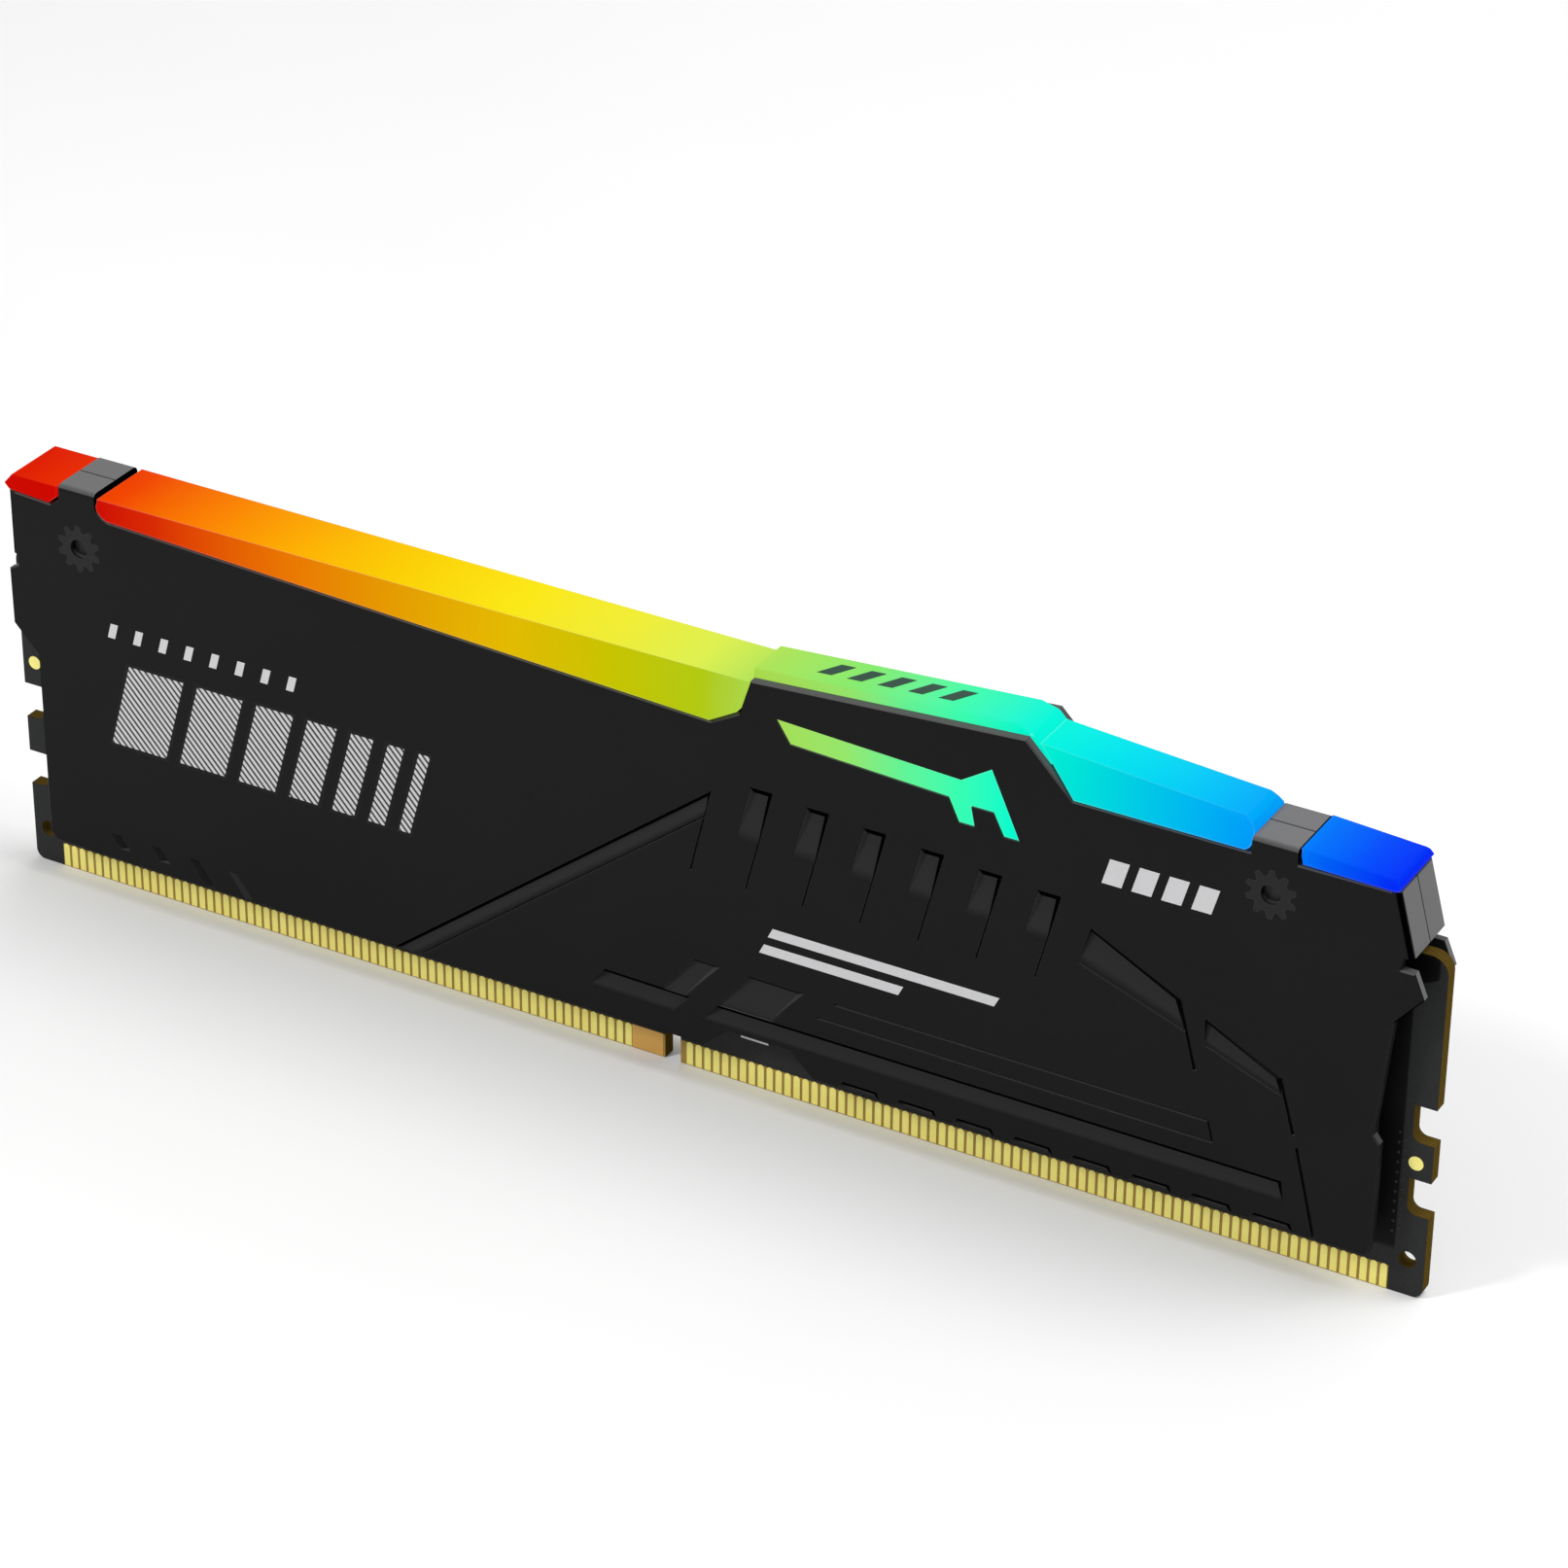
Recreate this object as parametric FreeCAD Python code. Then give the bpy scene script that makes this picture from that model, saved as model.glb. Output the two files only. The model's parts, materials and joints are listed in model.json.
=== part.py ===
import FreeCAD, Part
import math
import os

# Desktop memory module (UDIMM) with folded heat spreaders and a light bar.
# Millimetres. +X runs along the module, -Y is the front face, +Z is up.
# The origin is the middle of the contact edge, on the board's mid-plane.

# ---- board ----
BOARD_LENGTH = 133.35
BOARD_HEIGHT = 31.25
BOARD_THICKNESS = 1.27
BOARD_TOP_RADIUS = 1.5
BOARD_FOOT_RADIUS = 0.9
NOTCH_DEPTH = 1.85
NOTCH_RANGES = ((7.6, 10.9), (14.33, 17.67))
NOTCH_RADIUS = 0.8
KEY_CENTRE_X = -1.225
KEY_WIDTH = 1.5
KEY_HEIGHT = 4.0
KEY_RADIUS = 0.735
TOOLING_HOLE_RADIUS = 0.75
TOOLING_HOLE_X = 65.19
TOOLING_HOLE_Z = 3.3

# ---- contacts ----
CONTACT_PITCH = 0.85
CONTACT_WIDTH = 0.6
CONTACT_PROUD = 0.04
CONTACT_FOOT = 0.1
CONTACT_TOP = 2.3
CONTACT_ROWS = {"left": (-63.325, 69), "right": (0.425, 75)}  # first contact's x, count
PLAIN_PAD_X = (-5.15, -2.15)
TEST_POINT_RADIUS = 0.62
TEST_POINTS = {"left": (-65.43, 19.95), "right": (65.3, 12.4)}

# ---- memory chips ----
CHIP_WIDTH = 10.0
CHIP_HEIGHT = 11.0
CHIP_THICKNESS = 1.0
CHIP_CORNER = 0.08
CHIP_FOOT_Z = 8.0
CHIP_PITCH = 12.4
FIRST_CHIP_X = 19.8
CHIP_CENTRES = tuple(side * (FIRST_CHIP_X + CHIP_PITCH * step) for side in (-1, 1) for step in range(4))

# ---- smaller packages: (width, height, thickness, corner) and centres as (x, z) ----
POWER_CONTROLLER = (5.0, 5.0, 0.8, 0.06)
POWER_CONTROLLER_PLACE = (0.0, 17.5)
INDUCTOR = (4.0, 4.0, 1.2, 0.2)
INDUCTOR_PLACES = ((-8.5, 17.5), (8.5, 17.5), (0.0, 24.5))
POWER_CAPACITOR = (1.0, 1.8, 0.8, 0.08)
POWER_CAPACITOR_PLACES = tuple((x, 21.5) for x in (-10.0, -8.0, -6.0, 4.0, 6.0, 8.0, 10.0))
PRESENCE_HUB = (3.0, 2.0, 0.7, 0.05)
PRESENCE_HUB_PLACE = (-6.5, 25.0)
LIGHT_CONTROLLER = (4.0, 4.0, 0.8, 0.06)
LIGHT_CONTROLLER_PLACE = (12.5, 24.6)
BYPASS_CAPACITOR = (0.5, 1.0, 0.5, 0.05)
BYPASS_CAPACITOR_Z = 20.4
LINE_RESISTOR = (1.4, 0.7, 0.4, 0.05)
LINE_RESISTOR_Z = 6.4
PASSIVE_PITCH = 2.0
LED = (3.2, 1.8, 1.1, 0.1)
LED_COUNT = 12
LED_PITCH = 9.6
LED_MIDDLE_X = -2.4
LED_Z = 29.4

# ---- heat spreader sheets ----
HALF_DEPTH = 3.15
SHEET = 0.7
SEAM_GAP = 0.06
FOLD_RADIUS = 0.55
EDGE_CHAMFER = 0.12
SPREADER_FOOT_Z = 4.35

# ---- tabs that fold over the light bar: x from, x to, top z ----
LEFT_TAB = (-59.65, -56.0, 39.85)
RIGHT_TAB = (51.05, 54.85, 38.7)

# ---- tabs that fold over the ends: outer face from its foot (x, z) to its top (x, z) ----
SIDE_TAB_FOOT_Z = 32.0
LEFT_SIDE = ((-65.05, SIDE_TAB_FOOT_Z), (-65.05, 38.0))
RIGHT_SIDE = ((64.75, SIDE_TAB_FOOT_Z), (63.3, 37.4))

# ---- shallow relief of the sheets ----
# Each pocket's drafts are the run of its walls, edge by edge, the upper edge first.
LOUVRE_COUNT = 6
LOUVRE_PITCH = 5.155
LOUVRE_WIDTH = 2.1
LOUVRE_LEAN = 0.25
LOUVRE_FOOT_Z = 20.5
LOUVRE_FIRST = (7.4, 30.2)
LOUVRE_FALL = 0.33
LOUVRE_POCKET_SHARE = 0.56
LOUVRE_DEPTH = 0.5
LOUVRE_DRAFTS = (0.7, 0.45, 0, 0.3)
EDGE_RAMP_COUNT = 8
EDGE_RAMP_PITCH = 5.26
EDGE_RAMP_FIRST_X = 16.3
EDGE_RAMP_WIDTH = 3.1
EDGE_RAMP_FLARES = (1.05, 0.6)
EDGE_RAMP_Z = (3.55, 5.05)
EDGE_RAMP_DEPTH = 0.45
EDGE_RAMP_DRAFTS = (0.55, 0.6, 0, 0)
SLANT_RAMPS = ((-56.5, 1.3), (-52.3, 1.3), (-48.3, 2.8), (-44.4, 2.8))  # x, drop
SLANT_RAMP_TOP_Z = 6.75
SLANT_RAMP_WIDTH = 1.1
SLANT_RAMP_SLOPE = 0.74
SLANT_RAMP_DEPTH = 0.4
SLANT_RAMP_DRAFTS = (0.35, 0.4, 0, 0)
PANEL_DEPTH = 0.45
SHALLOW_PANEL_DEPTH = 0.35
DEEP_DRAFT = 0.55
SHALLOW_DRAFT = 0.35
PANEL_STEP_HEIGHT = 1.9
DIAGONAL_DRAFTS = (0.3, 0, 0, 0.3)
STRIPE_WIDTH = 0.2
STRIPE_DEPTH = 0.25
END_LINE_WIDTH = 0.32
HAIRLINE_WIDTH = 0.12
HAIRLINE_DEPTH = 0.3

# ---- light bar ----
BAR_HALF_DEPTH = 3.3
TOTAL_HEIGHT = 42.23
CORE_HALF_DEPTH = 2.35
CORE_FOOT_Z = 35.1
CORE_TOP_Z = 38.2
CORE_X = (-63.6, 62.0)
DECK_HALF_DEPTH = 2.4
DECK_X = (7.2, 32.75)
FIT_GAP = 0.1
WINDOW_BLOCK_X = (9.2, 32.2)
WINDOW_BLOCK_FOOT_Z = 32.05
LENS_RECESS = 0.1
LENS_GAP = 0.06

# ---- clear guide and black frame under the light bar ----
GUIDE_X = (-55.0, 50.0)
GUIDE_Y = (-2.25, -0.8)
GUIDE_FOOT_Z = 30.45
CARRIER_WALL_Y = -0.7
CARRIER_SKIRT_X = (-60.0, 60.0)
CARRIER_SKIRT_FOOT_Z = 27.0
CARRIER_END_GAP = 0.2
BOSS_RADIUS = 0.8
BOSS_RECESS = 0.6

# ---- toothed rings round the locating bosses ----
RING_CENTRES = {"left": (-57.9, 34.2), "right": (52.85, 34.15)}
RING_TEETH = 10
RING_TIP_RADIUS = 2.15
RING_ROOT_RADIUS = 1.6
RING_THICKNESS = 0.25
BOSS_HOLE_RADIUS = 0.87

# ---- blank label let into the back sheet ----
LABEL_X = (-56.0, -30.0)
LABEL_Z = (13.0, 29.0)
LABEL_THICKNESS = 0.1
LABEL_RADIUS = 1.0

BOARD_FRONT = -BOARD_THICKNESS / 2
BOARD_BACK = BOARD_THICKNESS / 2
SHEET_INNER = HALF_DEPTH - SHEET
OVERSHOOT = 1.0  # how far a cutter runs past the face it cuts
TOUCH = 0.01     # two edges nearer than this meet
SAME = 0.0001    # two points nearer than this are one point


def vec(x, y, z):
    return FreeCAD.Vector(x, y, z)


def box(x_range, y_range, z_range):
    """Block between two limits on each axis."""
    size = [high - low for low, high in (x_range, y_range, z_range)]
    return Part.makeBox(*size, vec(x_range[0], y_range[0], z_range[0]))


def polygon(points):
    """Closed wire through the points."""
    return Part.makePolygon(points + points[:1])


def prism(outline, y_range):
    """Straight extrusion along Y of an outline given as (x, z) points."""
    face = Part.Face(polygon([vec(x, y_range[0], z) for x, z in outline]))
    return face.extrude(vec(0, y_range[1] - y_range[0], 0))


def rod(x, z, radius, y_range):
    """Cylinder along Y."""
    return Part.makeCylinder(radius, y_range[1] - y_range[0], vec(x, y_range[0], z), vec(0, 1, 0))


def mirrored(shape):
    """The same shape on the other side of the board's mid-plane."""
    return shape.mirror(vec(0, 0, 0), vec(0, 1, 0))


def joined(shapes):
    """One solid from shapes that touch or overlap."""
    return shapes[0].multiFuse(shapes[1:]).removeSplitter()


def edges_between(shape, wanted):
    """Edges whose two end points both satisfy a test."""
    return [edge for edge in shape.Edges if all(wanted(vertex.Point) for vertex in edge.Vertexes)]


def edges_along_y(shape, corners):
    """Edges along Y that pass through the given (x, z) corners."""
    found = []
    for x, z in corners:
        found += edges_between(shape, lambda point: math.hypot(point.x - x, point.z - z) < TOUCH)
    return found


def save(name, shapes):
    """Write one node, a solid or a group of separate solids."""
    solids = shapes if isinstance(shapes, list) else [shapes]
    body = solids[0] if len(solids) == 1 else Part.makeCompound(solids)
    if not body.isValid():
        raise ValueError(name + " isn't a valid shape")
    body.exportStep(os.path.join("parts", name + ".step"))
    print(name, len(body.Solids), round(body.Volume, 2))


# ---------------------------------------------------------------- board

def make_board():
    half = BOARD_LENGTH / 2
    inner = half - NOTCH_DEPTH
    through = (BOARD_FRONT - OVERSHOOT, BOARD_BACK + OVERSHOOT)
    board = box((-half, half), (BOARD_FRONT, BOARD_BACK), (0, BOARD_HEIGHT))
    top_corners = [(-half, BOARD_HEIGHT), (half, BOARD_HEIGHT)]
    board = board.makeFillet(BOARD_TOP_RADIUS, edges_along_y(board, top_corners))
    board = board.makeFillet(BOARD_FOOT_RADIUS, edges_along_y(board, [(-half, 0), (half, 0)]))
    for side in (-1, 1):
        for low, high in NOTCH_RANGES:
            notch = box(sorted((side * inner, side * (half + OVERSHOOT))), through, (low, high))
            notch = notch.makeFillet(NOTCH_RADIUS, edges_along_y(notch, [(side * inner, low)]))
            board = board.cut(notch)
        board = board.cut(rod(side * TOOLING_HOLE_X, TOOLING_HOLE_Z, TOOLING_HOLE_RADIUS, through))
    key_x = (KEY_CENTRE_X - KEY_WIDTH / 2, KEY_CENTRE_X + KEY_WIDTH / 2)
    key = box(key_x, through, (-OVERSHOOT, KEY_HEIGHT))
    key = key.makeFillet(KEY_RADIUS, edges_along_y(key, [(x, KEY_HEIGHT) for x in key_x]))
    return board.cut(key)


def contact(x, y_range):
    """One gold finger: a flat pad with a round upper end."""
    radius = CONTACT_WIDTH / 2
    pad = box((x - radius, x + radius), y_range, (CONTACT_FOOT, CONTACT_TOP - radius))
    return joined([pad, rod(x, CONTACT_TOP - radius, radius, y_range)])


def make_contacts():
    faces = {"front": (BOARD_FRONT - CONTACT_PROUD, BOARD_FRONT),
             "back": (BOARD_BACK, BOARD_BACK + CONTACT_PROUD)}
    for face, y_range in faces.items():
        for side, (start, count) in CONTACT_ROWS.items():
            row = [contact(start + CONTACT_PITCH * step, y_range) for step in range(count)]
            save("contacts_" + face + "_" + side, row)


def make_pads():
    """Plain pad beside the key, and the two round test points."""
    y_range = (BOARD_FRONT - CONTACT_PROUD, BOARD_FRONT)
    save("key_pad", box(PLAIN_PAD_X, y_range, (CONTACT_FOOT, CONTACT_TOP)))
    for side, (x, z) in TEST_POINTS.items():
        save("test_point_" + side, rod(x, z, TEST_POINT_RADIUS, y_range))


# ---------------------------------------------------------------- parts soldered to the board

def package(place, size):
    """Package standing on the front of the board, its outer edges chamfered."""
    x, z = place
    width, height, thickness, corner = size
    outer = BOARD_FRONT - thickness
    body = box((x - width / 2, x + width / 2), (outer, BOARD_FRONT), (z - height / 2, z + height / 2))
    return body.makeChamfer(corner, edges_between(body, lambda point: abs(point.y - outer) < TOUCH))


def make_packages():
    chip = (CHIP_WIDTH, CHIP_HEIGHT, CHIP_THICKNESS, CHIP_CORNER)
    for number, x in enumerate(sorted(CHIP_CENTRES), start=1):
        save("dram_chip_%d" % number, package((x, CHIP_FOOT_Z + CHIP_HEIGHT / 2), chip))
    save("power_controller", package(POWER_CONTROLLER_PLACE, POWER_CONTROLLER))
    save("power_inductors", [package(place, INDUCTOR) for place in INDUCTOR_PLACES])
    save("power_capacitors", [package(place, POWER_CAPACITOR) for place in POWER_CAPACITOR_PLACES])
    save("presence_detect_hub", package(PRESENCE_HUB_PLACE, PRESENCE_HUB))
    save("light_controller", package(LIGHT_CONTROLLER_PLACE, LIGHT_CONTROLLER))


def make_passives():
    """Bypass capacitors over each memory chip and resistor arrays under it."""
    columns = [x + PASSIVE_PITCH * step for x in sorted(CHIP_CENTRES) for step in range(-2, 3)]
    save("bypass_capacitors", [package((x, BYPASS_CAPACITOR_Z), BYPASS_CAPACITOR) for x in columns])
    save("line_resistors", [package((x, LINE_RESISTOR_Z), LINE_RESISTOR) for x in columns])


def make_leds():
    first = LED_MIDDLE_X - LED_PITCH * (LED_COUNT - 1) / 2
    save("rgb_leds", [package((first + LED_PITCH * step, LED_Z), LED) for step in range(LED_COUNT)])


# ---------------------------------------------------------------- heat path

def make_thermal_pads():
    chip_z = (CHIP_FOOT_Z, CHIP_FOOT_Z + CHIP_HEIGHT)
    inner_x = min(abs(x) for x in CHIP_CENTRES) - CHIP_WIDTH / 2
    outer_x = max(CHIP_CENTRES) + CHIP_WIDTH / 2
    for side, sign in (("left", -1), ("right", 1)):
        x_range = sorted((sign * inner_x, sign * outer_x))
        depth = (-SHEET_INNER, BOARD_FRONT - CHIP_THICKNESS)
        save("thermal_pad_front_" + side, box(x_range, depth, chip_z))
    x, z = POWER_CONTROLLER_PLACE
    width, height, thickness, _ = POWER_CONTROLLER
    power_x, power_z = (x - width / 2, x + width / 2), (z - height / 2, z + height / 2)
    save("thermal_pad_power", box(power_x, (-SHEET_INNER, BOARD_FRONT - thickness), power_z))
    save("thermal_pad_back", box((-outer_x, outer_x), (BOARD_BACK, SHEET_INNER), chip_z))


# ---------------------------------------------------------------- heat spreaders

def spreader_outline():
    """Front view of the sheet, tabs included, clockwise from the lower left corner."""
    left_end = [(-62.4, SPREADER_FOOT_Z), (-63.0, 5.0), (-63.0, 22.6), (-65.4, 25.1), (-65.45, 30.4),
                (-64.5, 30.9), (-64.5, SIDE_TAB_FOOT_Z), *LEFT_SIDE]
    left_tab = [(-60.65, 37.75), (LEFT_TAB[0], 38.4), (LEFT_TAB[0], LEFT_TAB[2]),
                (LEFT_TAB[1], LEFT_TAB[2]), (LEFT_TAB[1], 38.6), (-55.85, 38.25), (-55.35, 37.8),
                (-54.75, 37.5)]
    hump = [(3.8, 35.15), (6.4, 36.55), (7.45, 39.85), (31.75, 41.55), (35.95, 37.3)]
    right_tab = [(RIGHT_TAB[0], 37.3), (RIGHT_TAB[0], RIGHT_TAB[2]), (RIGHT_TAB[1], RIGHT_TAB[2]),
                 (RIGHT_TAB[1], 37.35), RIGHT_SIDE[1]]
    right_end = [RIGHT_SIDE[0], (63.9, SIDE_TAB_FOOT_Z), (63.8, 30.85), (64.95, 30.85), (65.85, 28.75),
                 (63.6, 26.05), (62.6, 15.5), (63.15, 14.8), (63.15, 5.6), (62.75, SPREADER_FOOT_Z)]
    return left_end + left_tab + hump + right_tab + right_end


def clip_tab(tab):
    """Tab folded over the light bar, up to the seam with its twin."""
    x_from, x_to, top = tab
    flap = box((x_from, x_to), (-HALF_DEPTH, -SEAM_GAP), (top - SHEET, top))
    bend = edges_between(flap, lambda point: abs(point.y + HALF_DEPTH) + abs(point.z - top) < TOUCH)
    return flap.makeFillet(FOLD_RADIUS, bend)


def side_tab(outer, side):
    """Tab folded over the end of the module, up to the seam with its twin."""
    inner = [(x - side * SHEET, z) for x, z in reversed(outer)]
    flap = prism([*outer, *inner], (-HALF_DEPTH, -SEAM_GAP))
    ends = [vec(x, -HALF_DEPTH, z) for x, z in outer]
    bend = edges_between(flap, lambda point: min(point.distanceToPoint(end) for end in ends) < TOUCH)
    return flap.makeFillet(FOLD_RADIUS, bend)


def side_room(outer, side):
    """Everything outside the inner face of a side tab, as a cutter for the flat sheet."""
    (foot_x, foot_z), (top_x, top_z) = outer
    inner = [(foot_x - side * SHEET, foot_z), (top_x - side * SHEET, top_z),
             (top_x - side * SHEET, top_z + OVERSHOOT)]
    outside = [(top_x + side * OVERSHOOT, top_z + OVERSHOOT), (foot_x + side * OVERSHOOT, foot_z)]
    return prism(inner + outside, (-HALF_DEPTH - OVERSHOOT, 0))


def tab_room(tab):
    """The height of a clip tab's sheet, as a cutter for the flat sheet."""
    x_from, x_to, top = tab
    return box((x_from - OVERSHOOT, x_to + OVERSHOOT), (-HALF_DEPTH - OVERSHOOT, 0),
               (top - SHEET, top + OVERSHOOT))


def inner_lines(outline):
    """For each edge the inward unit normal and the edge's own distance along it."""
    ahead = outline[1:] + outline[:1]
    area = sum(x0 * z1 - x1 * z0 for (x0, z0), (x1, z1) in zip(outline, ahead))
    turn = math.copysign(1, area)
    lines = []
    for (x0, z0), (x1, z1) in zip(outline, ahead):
        length = math.hypot(x1 - x0, z1 - z0)
        nx, nz = turn * (z0 - z1) / length, turn * (x1 - x0) / length
        lines.append((nx, nz, nx * x0 + nz * z0))
    return lines


def inset(lines, drafts):
    """Corners of the outline after each edge has moved inwards by its draft."""
    moved = [(nx, nz, distance + draft) for (nx, nz, distance), draft in zip(lines, drafts)]
    corners = []
    for (ax, az, a_dist), (bx, bz, b_dist) in zip(moved[-1:] + moved, moved):
        cross = ax * bz - az * bx
        corners.append(((a_dist * bz - b_dist * az) / cross, (ax * b_dist - bx * a_dist) / cross))
    return corners


def facet(points):
    """Flat face through the points, or nothing where they close up."""
    kept = [point for step, point in enumerate(points) if point.distanceToPoint(points[step - 1]) > SAME]
    return [Part.Face(polygon(kept))] if len(kept) > 2 else []


def ramp_pocket(outline, depth, drafts, flush_edge=2, beyond=0.0):
    """Cutter for a pocket with sloping walls and a tilted floor.

    The floor meets the face at a line past the flush edge, by beyond, and is deepest far from it.
    Where it meets the face at the flush edge itself, the walls beside it taper out there.
    """
    lines = inner_lines(outline)
    floor_outline = inset(lines, drafts)
    if not beyond:
        for corner in (flush_edge, (flush_edge + 1) % len(outline)):
            floor_outline[corner] = outline[corner]
    nx, nz, start = lines[flush_edge]
    runs = [nx * x + nz * z - start + beyond for x, z in floor_outline]
    outer = [vec(x, -HALF_DEPTH - OVERSHOOT, z) for x, z in outline]
    rim = [vec(x, -HALF_DEPTH, z) for x, z in outline]
    floor = [vec(x, -HALF_DEPTH + depth * run / max(runs), z) for (x, z), run in zip(floor_outline, runs)]
    faces = facet(outer) + facet(floor)
    for step in range(len(outline)):
        after = (step + 1) % len(outline)
        if max(runs[step], runs[after]) < SAME:
            faces += facet([outer[step], outer[after], rim[after], floor[after], floor[step], rim[step]])
        else:
            faces += facet([outer[step], outer[after], rim[after], rim[step]])
            faces += facet([rim[step], rim[after], floor[after]])
            faces += facet([rim[step], floor[after], floor[step]])
    return Part.Solid(Part.Shell(faces))


def groove(start, end, width, depth):
    """Straight shallow groove between two points of the front face."""
    dx, dz = end[0] - start[0], end[1] - start[1]
    length = math.hypot(dx, dz)
    nx, nz = -dz / length * width / 2, dx / length * width / 2
    outline = [(start[0] + nx, start[1] + nz), (end[0] + nx, end[1] + nz),
               (end[0] - nx, end[1] - nz), (start[0] - nx, start[1] - nz)]
    return prism(outline, (-HALF_DEPTH - OVERSHOOT, -HALF_DEPTH + depth))


def hairline(start, end):
    return groove(start, end, HAIRLINE_WIDTH, HAIRLINE_DEPTH)


def louvre_cutters():
    """Leaning pockets, deep at the top and flush at the foot, each with a slit down its right side."""
    cutters = []
    for step in range(LOUVRE_COUNT):
        x = LOUVRE_FIRST[0] + LOUVRE_PITCH * step
        right = x + LOUVRE_WIDTH
        top = LOUVRE_FIRST[1] - LOUVRE_FALL * step
        full_height = top - LOUVRE_FOOT_Z
        low = top - LOUVRE_POCKET_SHARE * full_height
        shift = LOUVRE_LEAN * (top - low)
        outline = [(x, top), (right, top), (right - shift, low), (x - shift, low)]
        cutters.append(ramp_pocket(outline, LOUVRE_DEPTH, LOUVRE_DRAFTS))
        cutters.append(hairline((right, top), (right - LOUVRE_LEAN * full_height, LOUVRE_FOOT_Z)))
    return cutters


def edge_ramp_cutters():
    """Row of shallow ramps that run out through the lower edge of the sheet."""
    low, top = EDGE_RAMP_Z
    flare_left, flare_right = EDGE_RAMP_FLARES
    cutters = []
    for step in range(EDGE_RAMP_COUNT):
        x = EDGE_RAMP_FIRST_X + EDGE_RAMP_PITCH * step
        right = x + EDGE_RAMP_WIDTH
        outline = [(x, top), (right, top), (right + flare_right, low), (x - flare_left, low)]
        cutters.append(ramp_pocket(outline, EDGE_RAMP_DEPTH, EDGE_RAMP_DRAFTS))
    return cutters


def slant_ramp_cutters():
    """Short slanting ramps above the lower edge, at the left, deep along their right side."""
    top = SLANT_RAMP_TOP_Z
    cutters = []
    for x, drop in SLANT_RAMPS:
        right, slope = x + SLANT_RAMP_WIDTH, SLANT_RAMP_SLOPE * drop
        outline = [(x, top), (right, top), (right + slope, top - drop), (x + slope, top - drop)]
        cutters.append(ramp_pocket(outline, SLANT_RAMP_DEPTH, SLANT_RAMP_DRAFTS, flush_edge=3))
    return cutters


def lower_band_cutters():
    """Long step along the lower edge, the panels beside it and the outlined stripe over it."""
    low_panel = [(-6.25, 8.75), (1.9, 8.65), (0.1, 6.6), (-7.95, 6.65)]
    small_panel = [(2.3, 12.4), (4.7, 12.35), (1.7, 8.5), (-0.75, 8.55)]
    wide_panel = [(7.45, 12.35), (12.55, 12.3), (9.85, 8.7), (4.55, 8.65)]
    band = [(4.55, 8.65), (55.25, 8.75), (55.5, 6.8), (2.85, 6.7)]
    deep = (DEEP_DRAFT, DEEP_DRAFT, 0, 0)
    shallow = (SHALLOW_DRAFT, SHALLOW_DRAFT, 0, 0)
    cutters = [ramp_pocket(low_panel, PANEL_DEPTH, (DEEP_DRAFT, 0, 0, 0)),
               ramp_pocket(band, PANEL_DEPTH, deep),
               ramp_pocket(small_panel, SHALLOW_PANEL_DEPTH, shallow, beyond=PANEL_STEP_HEIGHT),
               ramp_pocket(wide_panel, SHALLOW_PANEL_DEPTH, shallow, beyond=PANEL_STEP_HEIGHT)]
    stripe = [(15.4, 12.2), (48.75, 12.2), (49.25, 10.35), (13.8, 10.45)]
    for start, end in zip(stripe, stripe[1:]):
        cutters.append(groove(start, end, STRIPE_WIDTH, STRIPE_DEPTH))
    return cutters


def right_end_cutters():
    """Two pointed panels and the broken line under them."""
    upper = [(37.95, 26.5), (45.8, 22.55), (46.4, 19.75), (37.0, 23.1)]
    lower = [(48.0, 21.45), (54.65, 18.15), (54.8, 16.55), (48.15, 19.05)]
    drafts = (DEEP_DRAFT, DEEP_DRAFT, 0, 0)
    cutters = [ramp_pocket(upper, PANEL_DEPTH, drafts), ramp_pocket(lower, PANEL_DEPTH, drafts),
               hairline(upper[3], upper[2]), hairline(lower[3], lower[2])]
    lines = ((upper[1], (47.4, 16.45)), (lower[1], (56.0, 13.3)), ((56.35, 12.25), (58.45, 3.7)))
    cutters += [groove(start, end, END_LINE_WIDTH, SHALLOW_PANEL_DEPTH) for start, end in lines]
    return cutters


def diagonal_cutters():
    """Long diagonal step that runs down to the lower edge, and the line that turns down from it."""
    top, shoulder = (3.85, 28.75), (3.3, 26.3)
    strip = [top, shoulder, (-25.4, 3.9), (-27.7, 3.9)]
    return [ramp_pocket(strip, SHALLOW_PANEL_DEPTH, DIAGONAL_DRAFTS, flush_edge=1),
            groove(shoulder, (-25.5, 3.7), STRIPE_WIDTH, SHALLOW_PANEL_DEPTH),
            groove(top, (1.95, 20.8), STRIPE_WIDTH, STRIPE_DEPTH)]


def window_face(y, margin=0.0):
    """Slanting light slot with a forked end, as a face at y; margin shrinks it for the lens."""
    outline = [(9.75, 37.1), (26.3, 36.4), (28.95, 38.1), (31.55, 32.35), (30.1, 32.35), (29.15, 34.25),
               (27.25, 34.25), (27.6, 32.5), (26.15, 32.5), (25.2, 34.5), (11.05, 35.1)]
    face = Part.Face(polygon([vec(x, y, z) for x, z in outline]))
    return face.makeOffset2D(-margin, 2) if margin else face


def window_cutter():
    return window_face(-HALF_DEPTH - OVERSHOOT).extrude(vec(0, HALF_DEPTH + OVERSHOOT, 0))


def foot_opening():
    """Opening in the lower edge that bares the board."""
    low = SPREADER_FOOT_Z - OVERSHOOT
    outline = [(2.0, low), (5.5, 6.45), (11.35, 6.45), (14.6, low)]
    return prism(outline, (-HALF_DEPTH - OVERSHOOT, 0))


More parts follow.
